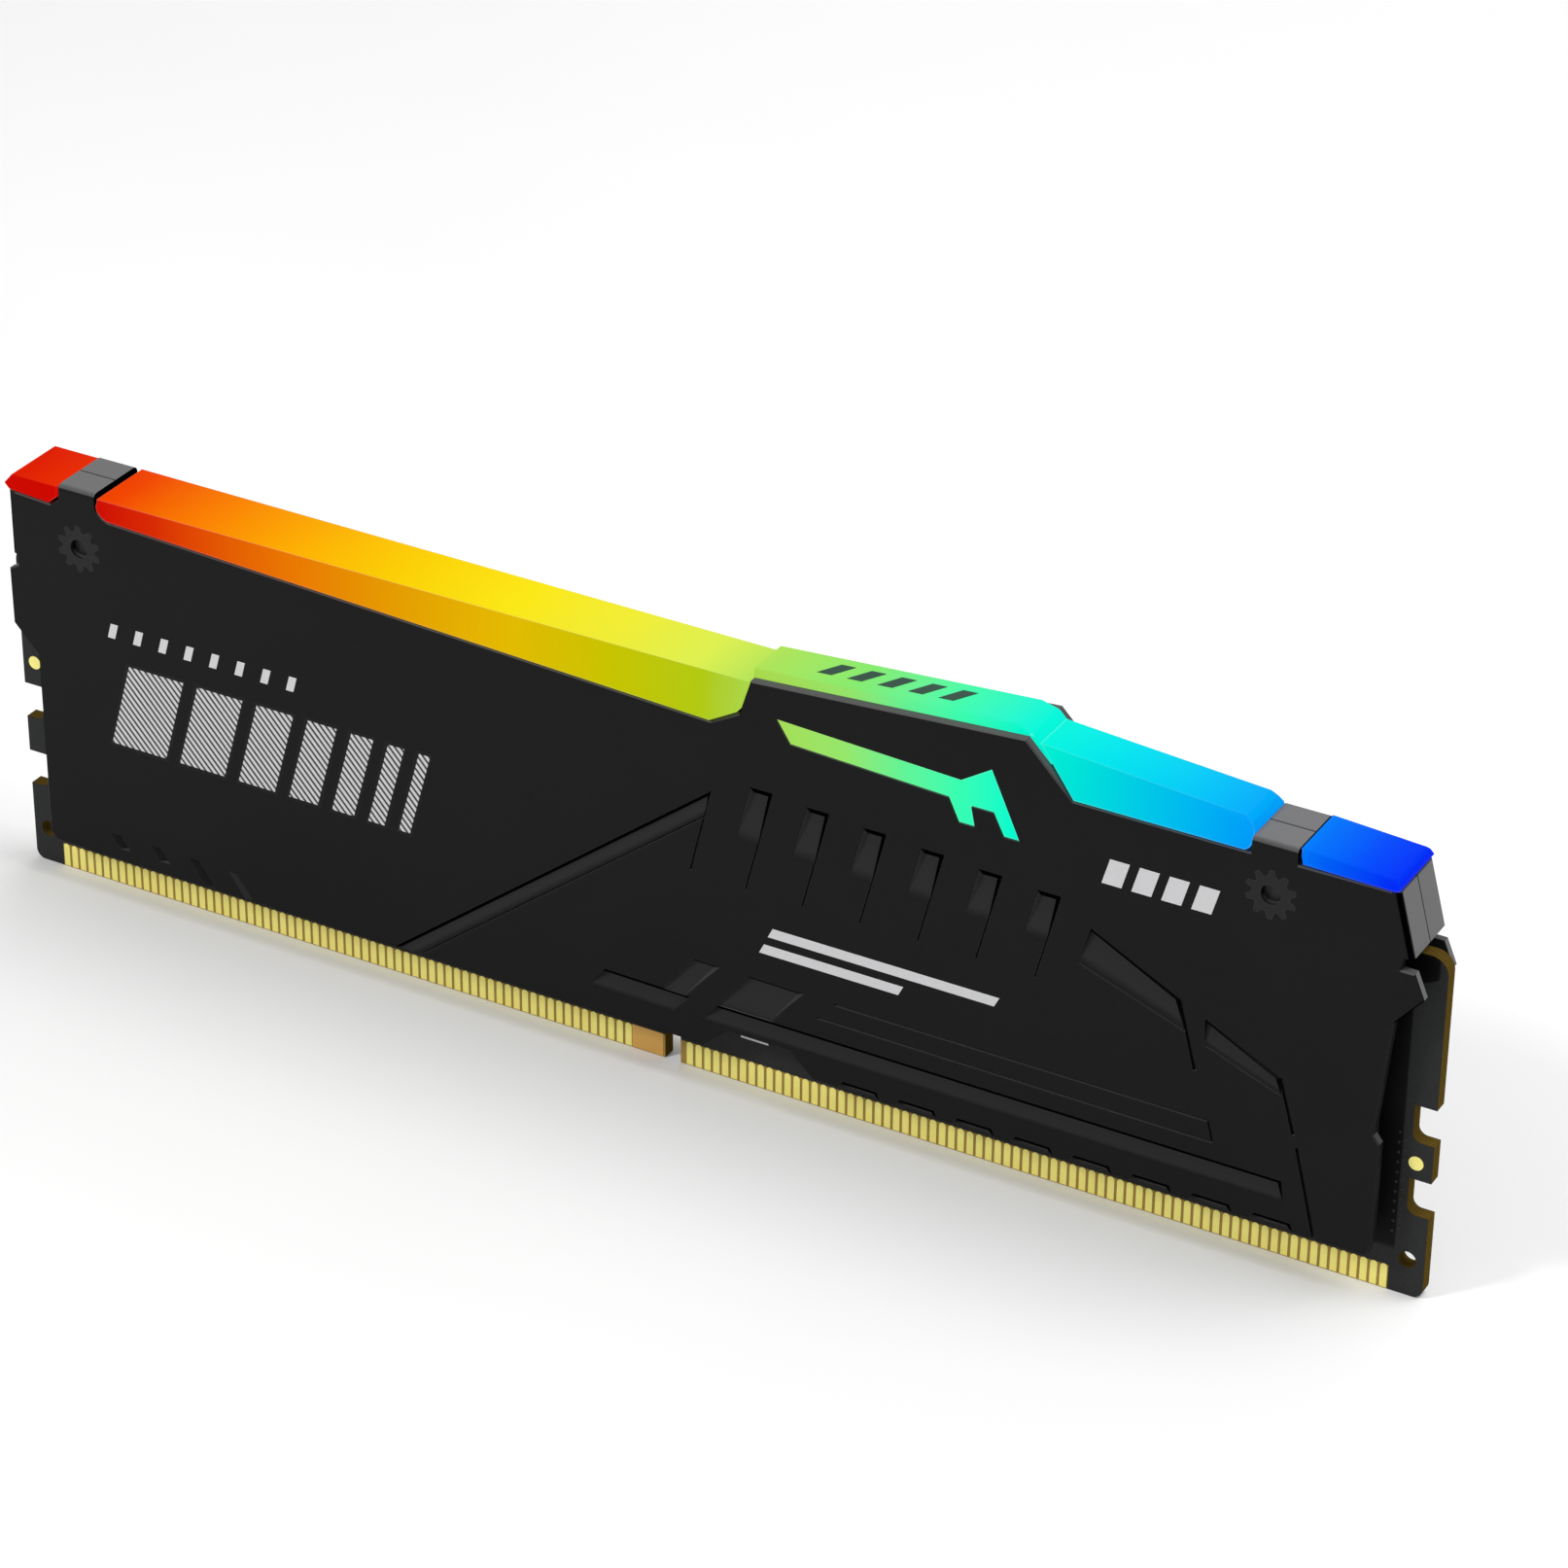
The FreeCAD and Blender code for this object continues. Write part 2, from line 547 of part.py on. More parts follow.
def ring_outline(x, z):
    """Blunt teeth round a circle."""
    points = []
    for tooth in range(RING_TEETH):
        for share, radius in ((-0.37, RING_ROOT_RADIUS), (-0.14, RING_TIP_RADIUS),
                              (0.14, RING_TIP_RADIUS), (0.37, RING_ROOT_RADIUS)):
            turn = 2 * math.pi * (tooth + share) / RING_TEETH
            points.append((x + radius * math.sin(turn), z + radius * math.cos(turn)))
    return points


def ring_seat_cutters():
    """Toothed recess and the boss hole through it, at both ends."""
    cutters = []
    for x, z in RING_CENTRES.values():
        cutters.append(prism(ring_outline(x, z), (-HALF_DEPTH - OVERSHOOT, -HALF_DEPTH + RING_THICKNESS)))
        cutters.append(rod(x, z, BOSS_HOLE_RADIUS, (-HALF_DEPTH - OVERSHOOT, 0)))
    return cutters


def is_free_rim(edge):
    """True for an edge of the outer face that isn't at a bend."""
    if any(abs(vertex.Y + HALF_DEPTH) > TOUCH for vertex in edge.Vertexes):
        return False
    middle = edge.CenterOfMass
    at_side = middle.z > SIDE_TAB_FOOT_Z - FIT_GAP and abs(middle.x) > RIGHT_SIDE[1][0] - FIT_GAP
    at_tab = any(x_from - FIT_GAP < middle.x < x_to + FIT_GAP and middle.z > RIGHT_SIDE[1][1]
                 for x_from, x_to, _ in (LEFT_TAB, RIGHT_TAB))
    return not at_side and not at_tab


def make_spreader_shape():
    sheet = prism(spreader_outline(), (-HALF_DEPTH, -SHEET_INNER))
    sheet = sheet.makeChamfer(EDGE_CHAMFER, [edge for edge in sheet.Edges if is_free_rim(edge)])
    tabs = []
    for tab in (LEFT_TAB, RIGHT_TAB):
        sheet = sheet.cut(tab_room(tab))
        tabs.append(clip_tab(tab))
    for outer, side in ((LEFT_SIDE, -1), (RIGHT_SIDE, 1)):
        sheet = sheet.cut(side_room(outer, side))
        tabs.append(side_tab(outer, side))
    sheet = joined([sheet] + tabs)
    cutters = louvre_cutters() + edge_ramp_cutters() + slant_ramp_cutters() + lower_band_cutters()
    cutters += right_end_cutters() + diagonal_cutters() + ring_seat_cutters()
    cutters += [window_cutter(), foot_opening()]
    for cutter in cutters:
        sheet = sheet.cut(cutter)
    return sheet


def make_spreaders():
    front = make_spreader_shape()
    save("heat_spreader_front", front)
    label = box(LABEL_X, (HALF_DEPTH - LABEL_THICKNESS, HALF_DEPTH), LABEL_Z)
    label = label.makeFillet(LABEL_RADIUS, edges_along_y(label, [(x, z) for x in LABEL_X for z in LABEL_Z]))
    save("heat_spreader_back", mirrored(front).cut(label))
    save("blank_label", label)


def make_rings():
    for side, (x, z) in RING_CENTRES.items():
        ring = prism(ring_outline(x, z), (-HALF_DEPTH, -HALF_DEPTH + RING_THICKNESS))
        ring = ring.cut(rod(x, z, BOSS_HOLE_RADIUS, (-HALF_DEPTH - OVERSHOOT, 0)))
        save("toothed_ring_front_" + side, ring)
        save("toothed_ring_back_" + side, mirrored(ring))


# ---------------------------------------------------------------- light bar

def head(outline, start, end):
    """Lit head lofted between two sections and trimmed to its front view.

    A section is (x, half-depth at the foot, foot z, half-depth at the top, top z).
    """
    wires = []
    for x, foot_y, foot_z, top_y, top_z in (start, end):
        wires.append(polygon([vec(x, -foot_y, CORE_FOOT_Z), vec(x, -foot_y, foot_z), vec(x, -top_y, top_z),
                              vec(x, top_y, top_z), vec(x, foot_y, foot_z), vec(x, foot_y, CORE_FOOT_Z)]))
    loft = Part.makeLoft(wires, True, True)
    return loft.common(prism(outline, (-BAR_HALF_DEPTH, BAR_HALF_DEPTH)))


def make_heads():
    """The lit stretches of the bar by name, from left to right."""
    face = BAR_HALF_DEPTH
    above = TOTAL_HEIGHT + OVERSHOOT
    left_cap = head([(-64.75, 38.2), (-60.7, 37.95), (-59.9, 38.6), (-59.8, above), (-64.4, above),
                     (-64.5, 39.6), (-65.3, 38.65)],
                    (-66, face, 38.15, 3.07, 39.6), (-59, face, 38.0, 3.07, 39.6))
    tip = [(-55.5, above), (-55.6, 39.3), (-55.75, 38.85), (-55.65, 38.4), (-55.2, 37.95), (-54.7, 37.7)]
    long_bar = head(tip + [(3.75, 35.35), (6.2, 36.7), (7.2, 39.9), (7.2, above)],
                    (-57, face, 37.8, 3.26, 39.56), (8, face, 35.2, 2.82, 39.56))
    deck = head([(DECK_X[0], CORE_TOP_Z), (DECK_X[0], TOTAL_HEIGHT), (30.5, TOTAL_HEIGHT), (31.85, 41.75),
                 (DECK_X[1], 40.85), (DECK_X[1], CORE_TOP_Z)],
                (7, DECK_HALF_DEPTH, 39.67, 2.05, 40.58), (33, DECK_HALF_DEPTH, 41.58, 2.15, 42.405))
    right_stretch = head([(31.9, above), (31.9, 41.7), (36.1, 37.5), (50.55, 37.5), (50.9, 37.75),
                          (51.0, 38.2), (51.0, 38.9), (50.65, 39.4), (50.0, 39.9), (50.0, above)],
                         (31, face, 37.55, 2.2, 41.15), (52, face, 37.55, 2.2, 39.7))
    right_cap = head([(55.05, 38.2), (55.3, 37.6), (62.8, 37.5), (63.3, 37.6), (63.05, 38.2), (62.2, 38.6),
                      (61.4, above), (55.1, above), (54.97, 38.7)],
                     (54, face, 37.5, 2.85, 38.85), (64, face, 37.5, 2.85, 38.25))
    return {"light_bar_cap_left": left_cap, "light_bar_long": long_bar,
            "light_bar_deck": deck.cut(right_stretch), "light_bar_right": right_stretch,
            "light_bar_cap_right": right_cap}


def make_light_bar():
    """The lit heads and the plain core that carries them."""
    heads = make_heads()
    depth = (-CORE_HALF_DEPTH, CORE_HALF_DEPTH)
    window_block = box(WINDOW_BLOCK_X, depth, (WINDOW_BLOCK_FOOT_Z, CORE_FOOT_Z + OVERSHOOT))
    core = joined([box(CORE_X, depth, (CORE_FOOT_Z, CORE_TOP_Z)), window_block])
    for x_from, x_to, top in (LEFT_TAB, RIGHT_TAB):
        under_tab = (top - SHEET - FIT_GAP, TOTAL_HEIGHT)
        core = core.cut(box((x_from - FIT_GAP, x_to + FIT_GAP), depth, under_tab))
    for name, head_shape in heads.items():
        core = core.cut(head_shape)
        save(name, head_shape)
    save("light_bar_core", core)


def window_room():
    """Space round the light bar's window block, left free by the guide and the frame."""
    x_from, x_to = WINDOW_BLOCK_X
    return box((x_from - FIT_GAP, x_to + FIT_GAP), (-HALF_DEPTH, HALF_DEPTH),
               (WINDOW_BLOCK_FOOT_Z - FIT_GAP, CORE_FOOT_Z + OVERSHOOT))


def make_light_guide():
    """Clear strip that carries the light from the diodes up to the bar."""
    guide = box(GUIDE_X, GUIDE_Y, (GUIDE_FOOT_Z, CORE_FOOT_Z - FIT_GAP))
    save("light_guide", guide.cut(window_room()))


def make_carrier():
    """Black frame behind the guide, with a locating boss at each end of each face."""
    foot = BOARD_HEIGHT + FIT_GAP
    height = (foot, CORE_FOOT_Z - FIT_GAP)
    left, right = CORE_X[0] + CARRIER_END_GAP, CORE_X[1]
    rail = box((left, right), (CARRIER_WALL_Y, CORE_HALF_DEPTH), height).cut(window_room())
    skirt = box(CARRIER_SKIRT_X, (BOARD_BACK + FIT_GAP, CORE_HALF_DEPTH), (CARRIER_SKIRT_FOOT_Z, foot))
    pieces = [rail, skirt,
              box((left, GUIDE_X[0] - CARRIER_END_GAP), (-CORE_HALF_DEPTH, 0), height),
              box((GUIDE_X[1] + CARRIER_END_GAP, right), (-CORE_HALF_DEPTH, 0), height)]
    for x, z in RING_CENTRES.values():
        pieces.append(rod(x, z, BOSS_RADIUS, (-HALF_DEPTH + BOSS_RECESS, HALF_DEPTH - BOSS_RECESS)))
    save("bar_carrier", joined(pieces))


def make_lenses():
    """Clear inserts that fill the light slots of both sheets."""
    lens_front = -HALF_DEPTH + LENS_RECESS
    lens = window_face(lens_front, LENS_GAP).extrude(vec(0, -CORE_HALF_DEPTH - lens_front, 0))
    save("window_lens_front", lens)
    save("window_lens_back", mirrored(lens))


def main():
    os.makedirs("parts", exist_ok=True)
    save("circuit_board", make_board())
    make_contacts()
    make_pads()
    make_packages()
    make_passives()
    make_leds()
    make_thermal_pads()
    make_spreaders()
    make_rings()
    make_light_bar()
    make_light_guide()
    make_carrier()
    make_lenses()


main()
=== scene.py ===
import json
import math

import bmesh
import bpy
from mathutils import Matrix, Vector
from mathutils.bvhtree import BVHTree


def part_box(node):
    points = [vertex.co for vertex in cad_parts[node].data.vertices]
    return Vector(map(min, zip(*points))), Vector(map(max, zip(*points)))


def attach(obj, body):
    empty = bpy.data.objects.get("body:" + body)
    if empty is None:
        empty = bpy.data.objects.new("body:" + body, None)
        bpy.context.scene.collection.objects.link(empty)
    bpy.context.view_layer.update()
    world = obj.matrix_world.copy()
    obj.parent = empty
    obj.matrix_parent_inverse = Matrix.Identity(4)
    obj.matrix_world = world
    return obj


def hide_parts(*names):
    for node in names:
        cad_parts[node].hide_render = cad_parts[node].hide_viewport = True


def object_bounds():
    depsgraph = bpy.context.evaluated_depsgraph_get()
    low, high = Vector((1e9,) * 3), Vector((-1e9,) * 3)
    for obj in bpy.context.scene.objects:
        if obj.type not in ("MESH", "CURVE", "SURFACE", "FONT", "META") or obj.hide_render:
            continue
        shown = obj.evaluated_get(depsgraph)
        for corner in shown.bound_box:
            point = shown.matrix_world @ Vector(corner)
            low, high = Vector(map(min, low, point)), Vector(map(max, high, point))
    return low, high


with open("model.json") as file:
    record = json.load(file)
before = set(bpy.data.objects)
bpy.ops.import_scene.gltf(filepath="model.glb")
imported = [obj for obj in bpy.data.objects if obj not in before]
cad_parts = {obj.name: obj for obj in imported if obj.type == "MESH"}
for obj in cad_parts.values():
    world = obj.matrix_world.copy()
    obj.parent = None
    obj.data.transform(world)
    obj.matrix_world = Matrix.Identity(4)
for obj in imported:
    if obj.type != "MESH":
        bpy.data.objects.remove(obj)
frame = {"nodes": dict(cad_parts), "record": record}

# Looks of a memory module with folded heat spreaders and a light bar.
# Metres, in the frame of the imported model: +X along the module, -Y front face, +Z up.
CAD_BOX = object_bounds()
MM = 0.001
BODY = "root"
LIT_NODES = ("light_bar_cap_left", "light_bar_long", "light_bar_deck",
             "light_bar_right", "light_bar_cap_right")

# ---- rounding of the light bar's pieces ----
LIT_EDGE_MM = 0.22
MERGE_MM = 0.004
FLAT_ANGLE = math.radians(1.0)
SHARP_ANGLE = math.radians(12)
ROUNDING_SEGMENTS = 3

# ---- camera: aims at a point on the board's mid-plane ----
CAMERA_TARGET = (8.8 * MM, 0.0, 29.3 * MM)
CAMERA_AZIMUTH = math.radians(29.27)
CAMERA_ELEVATION = math.radians(30.26)
CAMERA_ROLL = math.radians(0.52)
CAMERA_DISTANCE = 425.4 * MM
CAMERA_LENS_MM = 122.03
CAMERA_SENSOR_MM = 36.0

# ---- studio: light names, places, aims, sizes and watts ----
SKY_STRENGTH = 0.42
LIGHTS = (
    ("overhead", (0.26, 0.06, 0.46), (0, 0, 0.02), 0.35, 1.7),
    ("behind", (-0.10, 0.55, 0.4), (0, 0, 0.03), 0.4, 0.9),
    ("key", (-0.30, -0.40, 0.46), (0, 0, 0.02), 0.12, 1.9))
FLOOR_HALF = 3.0

# ---- levels taken from the frame ----
SHEET_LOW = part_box("heat_spreader_front")[0]
FRONT_Y = SHEET_LOW.y
SHEET_FOOT_Z = SHEET_LOW.z
BOARD_LOW, BOARD_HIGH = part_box("circuit_board")
CONTACT_TOP_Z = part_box("contacts_front_left")[1].z

# ---- folded tabs: the pair over the light bar and the pair over the ends ----
TAB_MIDDLES = (-57.82 * MM, 52.95 * MM)
TAB_HALF_WIDTH = 1.95 * MM
TAB_LEVEL_Z = 38.15 * MM
# beside the middle tabs the light bar's faces towards -X are painted black as shade in the gap
TAB_GAPS = (-55.6 * MM, 55.05 * MM)
TAB_GAP_REACH = 0.3 * MM
END_TAB_X = 63.0 * MM
END_TAB_FOOT_Z = 32.0 * MM
LIP_X = 64.4 * MM
LIP_FOOT_Z = 28.8 * MM

# ---- pressed relief of the sheets ----
PRESSED_DEPTH = 0.15 * MM
RELIEF_X = 45.0 * MM
PANEL_TOP_Z = 12.6 * MM
PANEL_RIGHT_X = 13.2 * MM

# ---- shaded part of the board, the opening that bares it, and its contact field ----
COVERED_X = 64.0 * MM
LIP_SHADE = 1.9 * MM
LIP_SHADE_Z = 29.4 * MM
OPENING_MIDDLE_X = 8.3 * MM
OPENING_HALF_WIDTH = 6.6 * MM
OPENING_TOP_Z = 6.7 * MM
CONTACT_FIELD_X = 63.65 * MM
CONTACT_FIELD_DROP = 0.12 * MM

# ---- colours, linear; a pair is the two ends of a close mottle ----
BLACK = (0, 0, 0, 1)
COATING = ((0.0056, 0.0056, 0.0058, 1), (0.0085, 0.0085, 0.0088, 1))
# painted light: pocket floors made a little lighter, as if catching the light
PRESSED_FLOOR_PAINTED_LIGHT = (0.021, 0.021, 0.0215, 1)
# painted light: pocket sides facing +X made lighter, like the floors
PRESSED_SIDE_PAINTED_LIGHT = (0.034, 0.034, 0.0345, 1)
# paler edges: partly wear, partly a painted edge highlight
WORN_EDGE_AND_HIGHLIGHT = (0.05, 0.05, 0.052, 1)
# painted highlight on faces of the sheet that look upwards
UPPER_EDGE_HIGHLIGHT = (0.075, 0.075, 0.077, 1)
# painted light: folded tab faces made a lighter grey, as lit from above and from the side
TAB_PAINTED_LIGHT = (0.135, 0.135, 0.138, 1)
# painted deep shade: bends, gaps beside the tabs and pocket walls made near black
DEEP_SHADE = (0.0006, 0.0006, 0.0006, 1)
RING = ((0.0105, 0.0105, 0.011, 1), (0.015, 0.015, 0.0155, 1))
RING_EDGE = (0.055, 0.055, 0.057, 1)
# painted highlight along the light bar's edges
RIM_HIGHLIGHT = (1, 1, 0.8, 1)
SOLDER_MASK = ((0.017, 0.018, 0.018, 1), (0.030, 0.031, 0.031, 1))
SHADED_MASK = (0.0015, 0.0015, 0.0015, 1)
BARE_LAMINATE = ((0.30, 0.19, 0.045, 1), (0.42, 0.28, 0.07, 1))
GLASS_LAYERS = ((0.028, 0.017, 0.003, 1), (0.120, 0.076, 0.014, 1))
GLASS_FIBRE = (0.22, 0.142, 0.026, 1)
FILM = ((0.36, 0.37, 0.38, 1), (0.50, 0.51, 0.52, 1))
SILVER_INK = ((0.52, 0.52, 0.53, 1), (0.66, 0.66, 0.67, 1))
BETWEEN_INK = (0.03, 0.03, 0.031, 1)
FLOOR_PAINT = ((0.86, 0.86, 0.86, 1), (0.90, 0.90, 0.90, 1))

# ---- fine patterns: texture scales and the slant of the hatching ----
LAYER_SCALE = 1150.0
HATCH_SCALE = 620.0
HATCH_ANGLE = math.radians(42)

# ---- plastics lit from inside: glow, grain in mm ----
LIT = {"light_diffuser": (0.97, 0.5), "window_lens": (1.0, 0.3)}

# ---- plated metals: two colours, roughness, metallic share ----
PLATED = {
    "gold_plating": ((0.98, 0.85, 0.20, 1), (1.0, 0.93, 0.28, 1), 0.34, 0.2),
    "bare_copper": ((0.66, 0.36, 0.075, 1), (0.76, 0.44, 0.11, 1), 0.42, 0.3),
}

# ---- moulded, fired or printed bodies: two colours, roughness, grain in mm, specular level ----
MOULDED = {
    "chip_mould": ((0.012, 0.012, 0.013, 1), (0.022, 0.022, 0.023, 1), 0.5, 0.2, 0.3),
    "ferrite": ((0.06, 0.06, 0.065, 1), (0.10, 0.10, 0.105, 1), 0.6, 0.2, 0.3),
    "capacitor_ceramic": ((0.36, 0.25, 0.14, 1), (0.45, 0.33, 0.2, 1), 0.5, 0.2, 0.3),
    "resistor_film": ((0.02, 0.02, 0.022, 1), (0.035, 0.035, 0.04, 1), 0.4, 0.2, 0.3),
    "led_package": ((0.70, 0.70, 0.66, 1), (0.82, 0.82, 0.78, 1), 0.35, 0.2, 0.3),
    "thermal_pad": ((0.34, 0.38, 0.44, 1), (0.42, 0.46, 0.52, 1), 0.8, 0.5, 0.3),
    "light_core": ((0.004, 0.004, 0.004, 1), (0.008, 0.008, 0.008, 1), 0.5, 0.3, 0.2),
    "clear_guide": ((0.70, 0.73, 0.75, 1), (0.80, 0.83, 0.85, 1), 0.15, 1.0, 0.5),
    "carrier_plastic": ((0.010, 0.010, 0.011, 1), (0.018, 0.018, 0.019, 1), 0.5, 0.2, 0.3),
    "pale_ink": ((0.56, 0.56, 0.57, 1), (0.66, 0.66, 0.67, 1), 0.5, 0.15, 0.3),
    # painted shadow for the dark rim round the hatched bars
    "painted_mark_shadow": ((0.002, 0.002, 0.002, 1), (0.004, 0.004, 0.004, 1), 0.4, 0.15, 0.15),
    "deck_ink": ((0.012, 0.045, 0.028, 1), (0.018, 0.06, 0.038, 1), 0.5, 0.15, 0.15),
    "solder": ((0.006, 0.006, 0.006, 1), (0.014, 0.014, 0.0135, 1), 0.35, 0.15, 0.3),
}

# ---- light spectrum: place along X in mm, colour as shown on screen ----
TOP_SPECTRUM = (
    (-65, (222, 28, 0)), (-60, (232, 44, 0)), (-54, (245, 72, 0)), (-45, (254, 134, 0)),
    (-35, (254, 180, 0)), (-25, (254, 214, 2)), (-15, (252, 233, 20)), (-5, (239, 238, 56)),
    (2, (223, 242, 80)), (8, (176, 230, 92)), (16, (136, 238, 112)), (25, (68, 252, 174)),
    (32, (8, 250, 222)), (38, (0, 233, 241)), (44, (0, 208, 248)), (50, (0, 176, 254)),
    (56, (0, 116, 254)), (60, (0, 78, 254)), (64, (0, 40, 250)))
# painted shade: upright faces glow in a deeper, darker ramp than the top
UPRIGHT_SHADED_SPECTRUM = (
    (-65, (205, 10, 0)), (-56, (208, 6, 2)), (-50, (220, 42, 2)), (-45, (230, 78, 1)),
    (-35, (236, 125, 0)), (-25, (233, 162, 0)), (-15, (230, 189, 0)), (-5, (200, 198, 0)),
    (3, (180, 205, 18)), (8, (172, 222, 80)), (16, (150, 232, 108)), (21, (100, 245, 150)),
    (26, (56, 254, 178)), (31, (2, 252, 208)), (38, (0, 222, 226)), (44, (0, 193, 240)),
    (50, (0, 160, 251)), (57, (0, 96, 249)), (62, (2, 48, 249)), (64, (2, 36, 246)))
SPECTRUM_START = -65 * MM
SPECTRUM_END = 65 * MM

# ---- printed marks on the front sheet, in mm ----
MARK_LIFT = 0.03
MARK_EDGE = 0.012
MARK_LEAN = 0.28
BARS_LEFT_X = -55.6
BAR_WIDTHS = (5.6, 4.6, 3.7, 2.9, 2.2, 1.6, 1.1)
BAR_GAP = 1.45
BARS_Z = (16.1, 24.1)
# painted shadow: dark rim round each hatched bar
SHADOW_WIDTH = 0.28
SHADOW_LIFT = 0.012
TICKS = (-55.4, 2.6, 8, 0.75, (26.45, 27.85))  # first x, pitch, count, width, z range
BLOCKS = (38.7, 2.55, 4, 1.7, (30.9, 33.2))
LONG_LINE_LEAN = 0.5
LONG_LINES = ((9.2, 20.6, (16.7, 17.6)), (8.4, 12.8, (15.0, 15.9)))  # x, width, z range
SILK_DASH = ((5.3, 4.4), (7.9, 4.4), (7.9, 4.62), (5.3, 4.62))
SILK_LIFT = 0.02
FINE_EDGE = 0.004

# ---- stripes along the raised middle of the light bar, in mm ----
STRIPE_FIRST_X = 12.2
STRIPE_PITCH = 2.7
STRIPE_COUNT = 5
STRIPE_WIDTH = 1.3
STRIPE_LEAN = 1.2
STRIPE_HALF_DEPTH = 0.95

# ---- solder dots beside the sheets, in mm: x, first z and count of each column ----
DOT_COLUMNS = ((63.75, 5.6, 11), (64.25, 6.0, 10), (-63.35, 5.6, 11))
DOT_PITCH = 0.92
DOT_RADIUS = 0.13
DOT_HEIGHT = 0.06
DOT_RINGS = 3
DOT_SIDES = 10


# ---------------------------------------------------------------- shader helpers

def linear(colour):
    """Screen colour, 0 to 255, as the linear colour that shaders use."""
    values = [part / 255 for part in colour]
    curved = [v / 12.92 if v <= 0.04045 else ((v + 0.055) / 1.055) ** 2.4 for v in values]
    return (*curved, 1.0)


def node(tree, kind, inputs=None, **settings):
    """Shader node; inputs are values or the output sockets that feed them."""
    made = tree.nodes.new(kind)
    for key, value in settings.items():
        setattr(made, key, value)
    for key, value in (inputs or {}).items():
        if isinstance(value, bpy.types.NodeSocket):
            tree.links.new(value, made.inputs[key])
        else:
            made.inputs[key].default_value = value
    return made


def maths(tree, operation, first, second=0.0):
    return node(tree, "ShaderNodeMath", {0: first, 1: second}, operation=operation).outputs[0]


def product(tree, *shares):
    """All the shares multiplied together."""
    total = shares[0]
    for share in shares[1:]:
        total = maths(tree, "MULTIPLY", total, share)
    return total


def greatest(tree, *shares):
    total = shares[0]
    for share in shares[1:]:
        total = maths(tree, "MAXIMUM", total, share)
    return total


def size_of(tree, value):
    return maths(tree, "ABSOLUTE", value)


def rest_of(tree, share):
    return maths(tree, "SUBTRACT", 1.0, share)


def fade(tree, value, low, high):
    """0 where value is below low, 1 above high, smooth between; low may be the larger one."""
    made = node(tree, "ShaderNodeMapRange",
                {"Value": value, "From Min": low, "From Max": high, "To Min": 0.0, "To Max": 1.0},
                interpolation_type="SMOOTHSTEP")
    return made.outputs["Result"]


def past(tree, value, limit, soft_mm):
    """1 where value is past the limit, with a soft edge before it."""
    return fade(tree, value, limit - soft_mm * MM, limit)


def under(tree, value, limit, soft_mm):
    """1 where value is under the limit, with a soft edge after it."""
    return fade(tree, value, limit + soft_mm * MM, limit)


def ranged(tree, value, low, high):
    """Value from 0 to 1 turned into low to high."""
    made = node(tree, "ShaderNodeMapRange", {"Value": value, "To Min": low, "To Max": high})
    return made.outputs["Result"]


def blend(tree, share, first, second):
    """Colour between first and second."""
    made = node(tree, "ShaderNodeMix", {0: share, 6: first, 7: second}, data_type="RGBA")
    return made.outputs[2]


def places(tree):
    """Object coordinates and their X, Y and Z."""
    where = node(tree, "ShaderNodeTexCoord").outputs["Object"]
    return where, node(tree, "ShaderNodeSeparateXYZ", {0: where}).outputs


def facing(tree):
    """How far the surface faces X, Y and Z."""
    normal = node(tree, "ShaderNodeNewGeometry").outputs["Normal"]
    return node(tree, "ShaderNodeSeparateXYZ", {0: normal}).outputs


def stretched(tree, where, factors):
    return node(tree, "ShaderNodeVectorMath", {0: where, 1: factors}, operation="MULTIPLY").outputs[0]


def noise(tree, where, grain_mm, detail=3.0):
    """Noise whose grain is about that many millimetres."""
    inputs = {"Vector": where, "Scale": 1 / (grain_mm * MM), "Detail": detail}
    return node(tree, "ShaderNodeTexNoise", inputs).outputs["Fac"]


def bump(tree, height, depth_mm, strength):
    inputs = {"Height": height, "Distance": depth_mm * MM, "Strength": strength}
    return node(tree, "ShaderNodeBump", inputs).outputs["Normal"]


def edge_share(tree, radius_mm, low, high):
    """1 on edges, where a rounded normal leaves the true one."""
    rounded = node(tree, "ShaderNodeBevel", {"Radius": radius_mm * MM}, samples=4).outputs["Normal"]
    true = node(tree, "ShaderNodeNewGeometry").outputs["Normal"]
    same = node(tree, "ShaderNodeVectorMath", {0: rounded, 1: true}, operation="DOT_PRODUCT")
    return fade(tree, same.outputs["Value"], high, low)


def new_material(name, **shader_values):
    """Node material with its Principled shader's fixed values set on the shader itself."""
    made = bpy.data.materials.new(name)
    made.use_nodes = True
    shader = made.node_tree.nodes["Principled BSDF"]
    for key, value in shader_values.items():
        shader.inputs[key.replace("_", " ")].default_value = value
    return made, made.node_tree, shader


def feed(tree, shader, **sockets):
    for key, socket in sockets.items():
        tree.links.new(socket, shader.inputs[key.replace("_", " ")])


# ---------------------------------------------------------------- coatings

